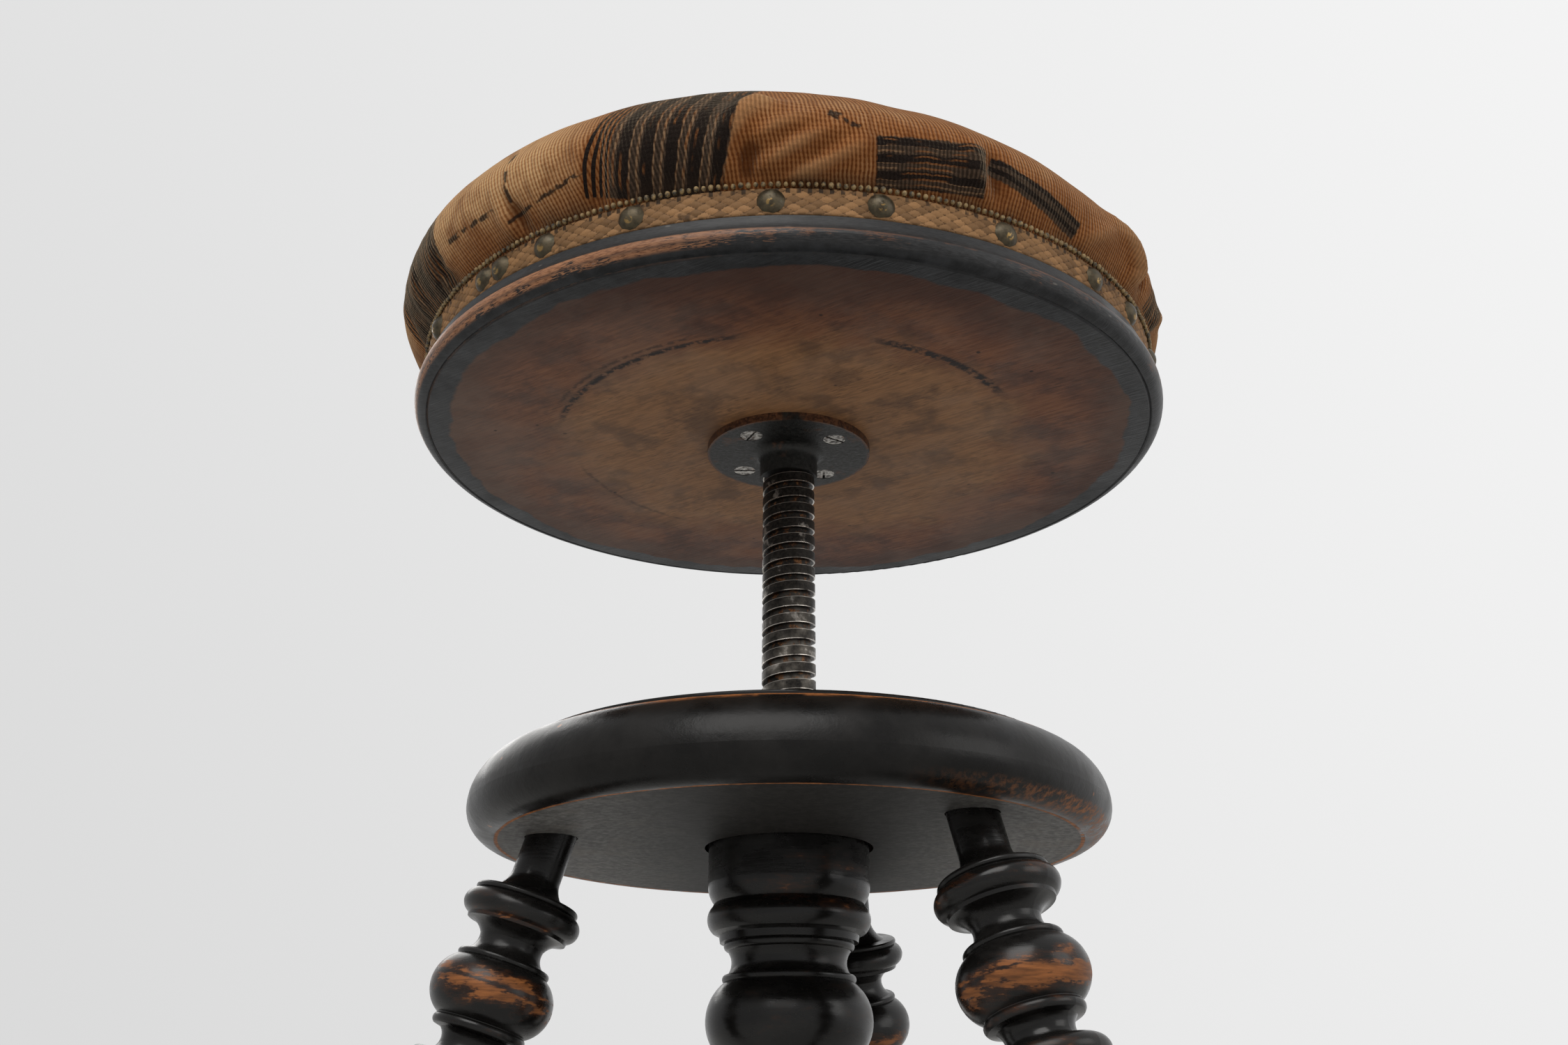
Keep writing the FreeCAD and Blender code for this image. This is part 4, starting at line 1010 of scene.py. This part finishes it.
def bright_steel():
    """Old screw heads: bright steel, mottled"""
    f = Finish("bright_steel")
    mottle = f.grain(2.2, detail=5.0, roughness=0.65)
    colour = f.blend(mottle, 0.36, 0.62, (0.05, 0.042, 0.036), (0.42, 0.4, 0.37))
    colour = f.over(colour, (0.11, 0.05, 0.025), f.ease(f.grain(3.1, detail=3.0), 0.56, 0.66), 0.6)
    f.set(Base_Color=colour, Metallic=0.9, Roughness=f.ease(mottle, 0.3, 0.7, 0.5, 0.28))
    f.set(Normal=f.bump(f.grain(0.7, detail=3.0), 0.08))
    return f.material


def spindle_steel(pitch, mark, crest):
    """Oily screw steel: dark flanks, painted highlights on the edges of the thread, rust down in the groove
    """
    f = Finish("spindle_steel")
    _, _, z = f.split(f.place)
    turns = f.less(f.math("DIVIDE", f.less(z, mark), pitch), f.times(f.bearing(), 1 / 360))
    phase = f.math("FRACT", turns)
    grime = f.grain(1.3, detail=5.0, roughness=0.7)
    streak = f.grain(7.0, detail=4.0)
    colour = f.blend(grime, 0.34, 0.7, (0.006, 0.0055, 0.005), (0.03, 0.026, 0.022))
    low = f.ease(z, mark + 70, mark - 75)
    colour = f.over(colour, (0.3, 0.27, 0.23), low, f.ease(streak, 0.35, 0.65), 0.7)
    # Painted highlights along the lower and upper edges of the thread, and in streaks on its crest
    outside = f.ease(f.radius(), crest - 0.5, crest - 0.1)
    high = f.ease(f.radius(), crest - 0.9, crest - 0.25)
    lower_edge = f.times(f.band(phase, 0.195, 0.24, 0.012), high)
    upper_edge = f.times(f.band(phase, 0.775, 0.8, 0.01), high)
    bright = f.add(f.times(lower_edge, f.ease(streak, 0.3, 0.55)), f.times(upper_edge, 0.45))
    bright = f.add(bright, f.times(outside, f.ease(streak, 0.58, 0.7), 0.4))
    colour = f.mix(f.cap(bright), colour, (0.55, 0.51, 0.46))
    groove = f.ease(f.radius(), crest - 0.7, crest - 1.5)
    rust = f.blend(grime, 0.4, 0.6, (0.035, 0.014, 0.006), (0.2, 0.085, 0.03))
    rusty = f.times(groove, f.ease(f.grain(2.4, detail=4.0), 0.5, 0.62), 0.75)
    colour = f.mix(rusty, colour, rust)
    f.set(Base_Color=colour, Metallic=0.85)
    dull = f.ease(grime, 0.3, 0.7, 0.36, 0.55)
    f.set(Roughness=f.mix(f.cap(bright), dull, (0.22, 0.22, 0.22)))
    f.set(Normal=f.bump(grime, 0.12))
    return f.material


def ebonised_turning(finishes, name, start, axis, length, worn, side=(0.0, -1.0, 0.0), amount=1.0):
    """Black polish on a turned piece, rubbed through to orange wood on its arrises.
    worn gives how bare the wood is at places along the turning, from 0 to length millimetres."""
    f = Finish(name)
    along = f.math("DIVIDE", f.along(start, axis), length)
    wear = f.levels(along, [(place / length, level) for place, level in worn])
    grain = f.grain(1.5, detail=5.0, roughness=0.6, stretch=(9, 9, 1))
    cloud = f.grain(7.0, detail=5.0, roughness=0.62, stretch=(2.6, 2.6, 1))
    fine = f.grain(1.6, detail=4.0, roughness=0.7, stretch=(4, 4, 1))
    toward = f.ease(f.vector("DOT_PRODUCT", f.facing, side), -0.3, 0.75)
    rub = f.add(f.times(cloud, 0.62), f.times(fine, 0.38))
    rub = f.add(rub, f.times(wear, 0.3), f.times(toward, 0.06))
    handled = f.ease(wear, 0.05, 0.35)
    bare = f.times(f.ease(rub, 0.77, 0.84), handled, amount)
    thin = f.times(f.ease(rub, 0.66, 0.8), handled, amount)
    wood = finishes.bare
    orange = f.blend(grain, 0.3, 0.7, shade(wood, 0.4), shade(wood, 1.2))
    black = finishes.ebonised
    polish = f.blend(cloud, 0.4, 0.7, black, shade(black, 1.9))
    colour = f.over(polish, (0.05, 0.016, 0.005), thin, 0.5)
    colour = f.mix(bare, colour, orange)
    dust = f.times(f.ease(f.grain(1.1, detail=3.0), 0.66, 0.76), 0.35)
    colour = f.mix(dust, colour, (0.06, 0.05, 0.04))
    f.set(Base_Color=colour, Roughness=f.mix(bare, f.ease(cloud, 0.3, 0.7, 0.18, 0.36), (0.5, 0.5, 0.5)))
    f.set(Normal=f.bump(f.add(f.times(cloud, 0.5), f.times(grain, 0.5)), 0.12))
    f.set(Specular_IOR_Level=0.24)
    return f.material


def base_disc_finish(finishes, foot, flat):
    """Black satin disc: cloudy polish, worn lower edge, underside with painted sheen and some dust at its
    ends and painted shade in the middle
    """
    f = Finish("ebonised_disc")
    x, _, z = f.split(f.place)
    level = f.less(z, foot)
    radius = f.radius()
    bearing = f.bearing()
    _, _, down = f.split(f.facing)
    cloud = f.grain(21.0, detail=5.0, roughness=0.62)
    fine = f.grain(2.8, detail=5.0, roughness=0.68)
    black = finishes.ebonised
    polish = f.blend(cloud, 0.36, 0.68, black, shade(black, 2.0))
    bloom = f.times(f.ease(f.grain(30.0, detail=6.0, roughness=0.7), 0.56, 0.72), 0.3)
    polish = f.mix(bloom, polish, (0.022, 0.023, 0.026))

    # Worn line low on the rim, widening to the right and broken elsewhere
    waver = f.times(f.less(f.grain(15.0, detail=3.0), 0.5), 1.6)
    height = f.add(level, waver)
    line = f.band(f.add(radius, f.times(waver, 0.6)), flat - 0.3, flat + 1.5, 0.4)
    right = f.times(f.ease(bearing, -75.0, -25.0), f.ease(bearing, 20.0, 60.0, 1.0, 0.0))
    brown = f.times(f.band(height, 0.2, 5.2, 1.4), right, f.ease(fine, 0.4, 0.6))
    bare = f.cap(f.add(f.times(line, f.ease(cloud, 0.32, 0.42)), f.times(brown, 0.6)))
    wood = finishes.bare
    orange = f.blend(fine, 0.3, 0.7, shade(wood, 0.6), shade(wood, 1.9))
    colour = f.over(polish, orange, bare, 0.9)
    shoulder = f.times(f.band(level, 30.5, 33.2, 0.7), f.ease(cloud, 0.5, 0.62), 0.6)
    colour = f.mix(shoulder, colour, orange)

    # Underside: grey at its ends, partly dust and partly painted sheen; darker in the middle, painted shade
    under = f.times(f.ease(down, -0.3, -0.6), f.ease(radius, flat + 0.3, flat - 0.2))
    turned = stripes(f, f.add(radius, f.times(fine, 1.2)), 3.4)
    aside = f.ease(f.math("ABSOLUTE", x), 30.0, 95.0)
    shaded = f.blend(fine, 0.35, 0.7, (0.011, 0.01, 0.009), (0.024, 0.022, 0.02))
    dust_and_sheen = f.blend(fine, 0.35, 0.7, (0.075, 0.072, 0.068), (0.165, 0.16, 0.152))
    dust_and_sheen = f.mix(aside, shaded, dust_and_sheen)
    dust_and_sheen = f.over(dust_and_sheen, (0.012, 0.011, 0.01), turned, 0.18)
    dust_and_sheen = f.over(dust_and_sheen, (0.12, 0.105, 0.088), f.ease(cloud, 0.5, 0.66), aside, 0.5)
    colour = f.mix(under, colour, dust_and_sheen)
    chips = f.times(f.flecks(19.0, 0.07), f.inverse(under))
    colour = f.over(colour, orange, chips, 0.8)
    f.set(Base_Color=colour)
    rough = f.math("MAXIMUM", bare, under)
    f.set(Roughness=f.mix(rough, f.ease(cloud, 0.3, 0.7, 0.24, 0.38), (0.6, 0.6, 0.6)))
    f.set(Normal=f.bump(f.add(f.times(cloud, 0.7), f.times(fine, 0.3)), 0.3))
    f.set(Specular_IOR_Level=0.14)
    return f.material


PLATE_FOOT = node_foot("base_plate")
DISC_FLAT = 119.7
LEG_SPLAY = 17.2
LEG_CIRCLE = 0.0986
LEG_BEARINGS = {"leg_1": 73.8, "leg_2": 193.8, "leg_3": 313.8}
LEG_LENGTH = 370.0
THREAD_PITCH = 7.5
THREAD_MARK = PLATE_FOOT / MM + 73.7

# How bare the wood is along each leg, from the plate down
RIGHT_LEG_WEAR = (
    (0, 0.0), (27, 0.0), (30, 0.55), (33, 0.6), (36, 0.15), (38, 0.35), (40, 0.0), (51, 0.0), (52.4, 0.4),
    (54, 0.0), (59, 0.15), (64.6, 1.0), (65.6, 0.1), (66.6, 1.0), (72, 0.85), (75, 0.2), (78, 0.45),
    (80, 0.0), (91, 0.4), (97, 0.3), (100, 0.0),
)
LEFT_LEG_WEAR = (
    (0, 0.0), (28, 0.0), (31, 0.35), (34, 0.1), (37.5, 0.45), (40, 0.0), (51, 0.0), (52.4, 0.35),
    (54, 0.0), (57, 0.55), (61.6, 0.95), (62.6, 0.1), (63.6, 0.9), (68, 0.75), (72, 0.35), (75, 0.0),
    (78, 0.4), (80, 0.0), (91, 0.4), (97, 0.25), (100, 0.0),
)
BACK_LEG_WEAR = (
    (0, 0.0), (28, 0.0), (31, 0.25), (35, 0.0), (51, 0.0), (52.4, 0.35), (54, 0.0), (62, 0.3),
    (70, 0.8), (75, 0.6), (78, 0.4), (82, 0.0), (92, 0.4), (100, 0.0),
)
LOWER_LEG_WEAR = (
    (132, 0.0), (142, 0.45), (150, 0.2), (180, 0.0), (196, 0.4), (203, 0.6), (207, 0.3), (217, 0.6),
    (226, 0.5), (240, 0.1), (280, 0.3), (320, 0.5), (358, 0.8), (370, 0.9),
)


def leg_line(name):
    """Where a leg's axis meets the disc's underside, and its direction towards the floor"""
    bearing = math.radians(LEG_BEARINGS[name])
    splay = math.radians(LEG_SPLAY)
    outward = Vector((math.cos(bearing), math.sin(bearing), 0))
    start = outward * LEG_CIRCLE + Vector((0, 0, PLATE_FOOT))
    axis = outward * math.sin(splay) - Vector((0, 0, math.cos(splay)))
    return start, axis


class STOOL_OT_stage(bpy.types.Operator):
    """Sets up the camera, the pale floor and the soft lamps"""

    bl_idname = "stool.stage"
    bl_label = "Stage"

    def execute(self, context):
        settings = context.scene.stool_stage
        scene = context.scene
        for name in ("Cube", "Light", "Camera"):
            spare = bpy.data.objects.get(name)
            if spare is not None:
                bpy.data.objects.remove(spare)
        camera = bpy.data.objects.new("photo_camera", bpy.data.cameras.new("photo_camera"))
        camera.data.sensor_width = 36.0
        camera.data.lens = settings.lens
        camera.data.clip_start = 0.02
        camera.location = settings.stand
        camera.rotation_euler = (math.pi / 2 + settings.pitch, 0, 0)
        scene.collection.objects.link(camera)
        scene.camera = camera
        scene.view_settings.view_transform = "Standard"
        self.light_room(scene, settings)
        self.lay_floor(settings)
        self.hang_lamps(scene, settings)
        return {"FINISHED"}

    def light_room(self, scene, settings):
        """A soft pale world, and the backdrop that camera, mirrored and transmitted rays see"""
        world = bpy.data.worlds.new("pale_room")
        scene.world = world
        world.use_nodes = True
        w = Nodes(world.node_tree)
        slope = w.vector("DOT_PRODUCT", w.node("TexCoord").outputs["Generated"], (0.16, 0.0, 0.1))
        shown = w.node("Background", ((1.0, 1.0, 1.0), w.add(slope, settings.backdrop)))
        lit = w.node("Background", ((1.0, 0.99, 0.97), settings.ambient))
        mix = w.node("MixShader", (w.seen(), lit.outputs[0], shown.outputs[0]))
        w.node("OutputWorld", {"Surface": mix.outputs[0]})

    def lay_floor(self, settings):
        """A plain round floor that catches the stool's shadow"""
        f = Finish("pale_floor")
        f.set(Base_Color=f.blend(f.grain(60.0), 0.3, 0.7, (0.72, 0.72, 0.71), (0.76, 0.76, 0.75)))
        f.set(Roughness=0.9)
        self.fade_floor(f, settings)
        steps = 96
        reach = 6.0
        points = [(0.0, 0.0, 0.0)]
        for step in range(steps):
            turn = 2 * math.pi * step / steps
            points.append((reach * math.cos(turn), reach * math.sin(turn), 0.0))
        faces = [(0, 1 + step, 1 + (step + 1) % steps) for step in range(steps)]
        floor = mesh_piece("studio_floor", points, faces, f.material)

    def fade_floor(self, f, settings):
        """Far from the stool the floor runs into the backdrop, while it still catches shadows near it"""
        x, _, _ = f.split(f.place)
        away = f.radius()
        strength = f.add(f.times(f.math("DIVIDE", x, f.add(away, 1.0)), 0.16), settings.backdrop)
        pale = f.node("Emission", {"Strength": strength})
        far = f.times(f.seen(), f.ease(away, 700.0, 2400.0))
        mix = f.node("MixShader", (far, f.shader.outputs["BSDF"], pale.outputs["Emission"]))
        f.feed(f.output.inputs["Surface"], mix.outputs[0])

    def hang_lamps(self, scene, settings):
        """Three soft square lamps: above the front, to the right and behind"""
        for name, place, aim, size, power in (
            ("lamp_above_front", (-0.35, -1.5, 2.0), (0, 0, 0.5), 1.5, settings.key),
            ("lamp_right", (1.9, -0.9, 1.1), (0, 0, 0.5), 1.2, settings.key * 0.26),
            ("lamp_behind", (-0.9, 1.6, 1.7), (0, 0, 0.5), 1.4, settings.key * 0.34),
        ):
            lamp = bpy.data.lights.new(name, "AREA")
            lamp.shape = "SQUARE"
            lamp.size = size
            lamp.energy = power
            lamp.color = (1.0, 0.985, 0.96)
            placed = bpy.data.objects.new(name, lamp)
            placed.location = place
            aim_at = Vector(aim) - Vector(place)
            placed.rotation_euler = aim_at.to_track_quat("-Z", "Y").to_euler()
            scene.collection.objects.link(placed)


class STOOL_OT_cushion(bpy.types.Operator):
    """Stuffs the round seat and covers it with ribbed moquette"""

    bl_idname = "stool.cushion"
    bl_label = "Cushion"

    def execute(self, context):
        sizes = context.scene.stool_cushion
        points, faces = seat_shape()
        cushion = mesh_piece("cushion", points, faces, moquette(sizes))
        stuff(cushion, sizes.grid)
        smooth = cushion.modifiers.new("fine_mesh", "SUBSURF")
        smooth.levels = 2
        smooth.render_levels = 2
        bpy.context.view_layer.objects.active = cushion
        bpy.ops.object.modifier_apply(modifier=smooth.name)
        crease_cloth(cushion)
        cushion.data.polygons.foreach_set("use_smooth", np.ones(len(cushion.data.polygons), bool))
        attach(cushion, "seat")
        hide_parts("cushion_cover", "cushion_stuffing")
        return {"FINISHED"}


class STOOL_OT_braid(bpy.types.Operator):
    """Weaves the straw braid round the foot of the cushion, with its picot edge"""

    bl_idname = "stool.braid"
    bl_label = "Braid"

    def execute(self, context):
        sizes = context.scene.stool_braid
        low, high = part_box("gimp_braid")
        outer = (high.x - low.x) / 2
        inner = outer - BRAID_THICKNESS
        top = high.z - 0.0004
        points, faces, relief = braid_mesh(sizes, inner, outer + STRAND_OUT, low.z, top)
        braid = mesh_piece("woven_braid", points, faces, straw_braid(sizes))
        store(braid, "relief", relief)
        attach(braid, "seat")
        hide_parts("gimp_braid")
        points, faces = picot_beads(sizes, outer + BEADS_OUT, high.z + BEADS_UP)
        beads = mesh_piece("picot_edge", points, faces, picot_thread())
        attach(beads, "seat")
        return {"FINISHED"}


class STOOL_OT_nails(bpy.types.Operator):
    """Finishes the domed nails and the hidden tacks"""

    bl_idname = "stool.nails"
    bl_label = "Nails"

    def execute(self, context):
        dress("gimp_nails", nail_brass(context.scene.stool_finishes.brass))
        dress("cover_tacks", blackened_iron(context.scene.stool_finishes, 400.0))
        return {"FINISHED"}


class STOOL_OT_seat_board(bpy.types.Operator):
    """Stains and wears the round seat board"""

    bl_idname = "stool.seat_board"
    bl_label = "Seat board"

    def execute(self, context):
        dress("seat_board", seat_board_finish(context.scene.stool_finishes))
        return {"FINISHED"}


class STOOL_OT_ironwork(bpy.types.Operator):
    """Finishes the flange, the nut, the screws and the threaded spindle"""

    bl_idname = "stool.ironwork"
    bl_label = "Ironwork"

    def execute(self, context):
        finishes = context.scene.stool_finishes
        flange = blackened_iron(finishes, node_radius("spindle_flange") / MM)
        dress("spindle_flange", flange)
        dress("spindle_nut", blackened_iron(finishes, node_radius("spindle_nut") / MM))
        screws = bright_steel()
        for name in ("flange_screws", "nut_screws", "stop_screw", "stop_washer"):
            dress(name, screws)
        crest = node_radius("spindle") / MM
        dress("spindle", spindle_steel(THREAD_PITCH, THREAD_MARK, crest))
        return {"FINISHED"}


class STOOL_OT_base_disc(bpy.types.Operator):
    """Polishes and wears the turned disc of the base"""

    bl_idname = "stool.base_disc"
    bl_label = "Base disc"

    def execute(self, context):
        finish = base_disc_finish(context.scene.stool_finishes, PLATE_FOOT / MM, DISC_FLAT)
        dress("base_plate", finish)
        return {"FINISHED"}


class STOOL_OT_post(bpy.types.Operator):
    """Polishes and wears the centre post and its finial"""

    bl_idname = "stool.post"
    bl_label = "Centre post"

    def execute(self, context):
        finishes = context.scene.stool_finishes
        length = (PLATE_FOOT - node_foot("post_finial")) / MM
        worn = ((0, 0.1), (26, 0.5), (34, 0.2), (62, 0.25), (100, 0.35), (length - 40, 0.45), (length, 0.6))
        top = (0.0, 0.0, PLATE_FOOT)
        side = (0.85, -0.4, 0.3)
        for name in ("centre_post", "post_finial"):
            dress(name, ebonised_turning(finishes, name, top, (0, 0, -1), length, worn, side, 0.8))
        return {"FINISHED"}


class STOOL_OT_legs(bpy.types.Operator):
    """Polishes and wears the three legs and their stretchers"""

    bl_idname = "stool.legs"
    bl_label = "Legs and stretchers"

    def execute(self, context):
        finishes = context.scene.stool_finishes
        for name, wear in (
            ("leg_1", BACK_LEG_WEAR),
            ("leg_2", LEFT_LEG_WEAR),
            ("leg_3", RIGHT_LEG_WEAR),
        ):
            start, axis = leg_line(name)
            worn = thinned(wear + LOWER_LEG_WEAR)
            finish = ebonised_turning(finishes, name, start, axis, LEG_LENGTH, worn)
            dress(name, finish)
        for name in ("stretcher_1", "stretcher_2", "stretcher_3"):
            low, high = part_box(name)
            middle = (low + high) / 2
            outward = Vector((middle.x, middle.y, 0)).normalized()
            worn = ((0, 0.2), (40, 0.5), (60, 0.2), (100, 0.6), (130, 0.2), (170, 0.5))
            start = (0.0, 0.0, middle.z)
            dress(name, ebonised_turning(finishes, name, start, outward, 170.0, worn))
        return {"FINISHED"}


def thinned(stops):
    """At most 32 stops, which is what one ramp holds"""
    stops = list(stops)
    while len(stops) > 32:
        gaps = [stops[i + 1][0] - stops[i - 1][0] for i in range(1, len(stops) - 1)]
        changes = [
            abs(stops[i][1] - (stops[i - 1][1] + stops[i + 1][1]) / 2) * gaps[i - 1]
            for i in range(1, len(stops) - 1)
        ]
        stops.pop(changes.index(min(changes)) + 1)
    return stops


class STOOL_PT_panel(bpy.types.Panel):
    """Lists the pieces of the stool"""

    bl_idname = "STOOL_PT_panel"
    bl_label = "Piano stool"
    bl_space_type = "VIEW_3D"
    bl_region_type = "UI"
    bl_category = "Stool"

    def draw(self, context):
        for operator in OPERATORS:
            self.layout.operator(operator.bl_idname)
        for group, name in GROUPS:
            self.layout.label(text=group.__doc__)
            for setting in group.__annotations__:
                self.layout.prop(getattr(context.scene, name), setting)


GROUPS = (
    (StoolCushion, "stool_cushion"),
    (StoolBraid, "stool_braid"),
    (StoolFinishes, "stool_finishes"),
    (StoolStage, "stool_stage"),
)
OPERATORS = (
    STOOL_OT_stage,
    STOOL_OT_cushion,
    STOOL_OT_braid,
    STOOL_OT_nails,
    STOOL_OT_seat_board,
    STOOL_OT_ironwork,
    STOOL_OT_base_disc,
    STOOL_OT_post,
    STOOL_OT_legs,
)


def register():
    for group, name in GROUPS:
        bpy.utils.register_class(group)
        setattr(bpy.types.Scene, name, bpy.props.PointerProperty(type=group))
    for operator in OPERATORS:
        bpy.utils.register_class(operator)
    bpy.utils.register_class(STOOL_PT_panel)


def unregister():
    bpy.utils.unregister_class(STOOL_PT_panel)
    for operator in reversed(OPERATORS):
        bpy.utils.unregister_class(operator)
    for group, name in reversed(GROUPS):
        delattr(bpy.types.Scene, name)
        bpy.utils.unregister_class(group)


def main():
    register()
    bpy.ops.stool.stage()
    bpy.ops.stool.cushion()
    bpy.ops.stool.braid()
    bpy.ops.stool.nails()
    bpy.ops.stool.seat_board()
    bpy.ops.stool.ironwork()
    bpy.ops.stool.base_disc()
    bpy.ops.stool.post()
    bpy.ops.stool.legs()


if __name__ == "__main__":
    main()
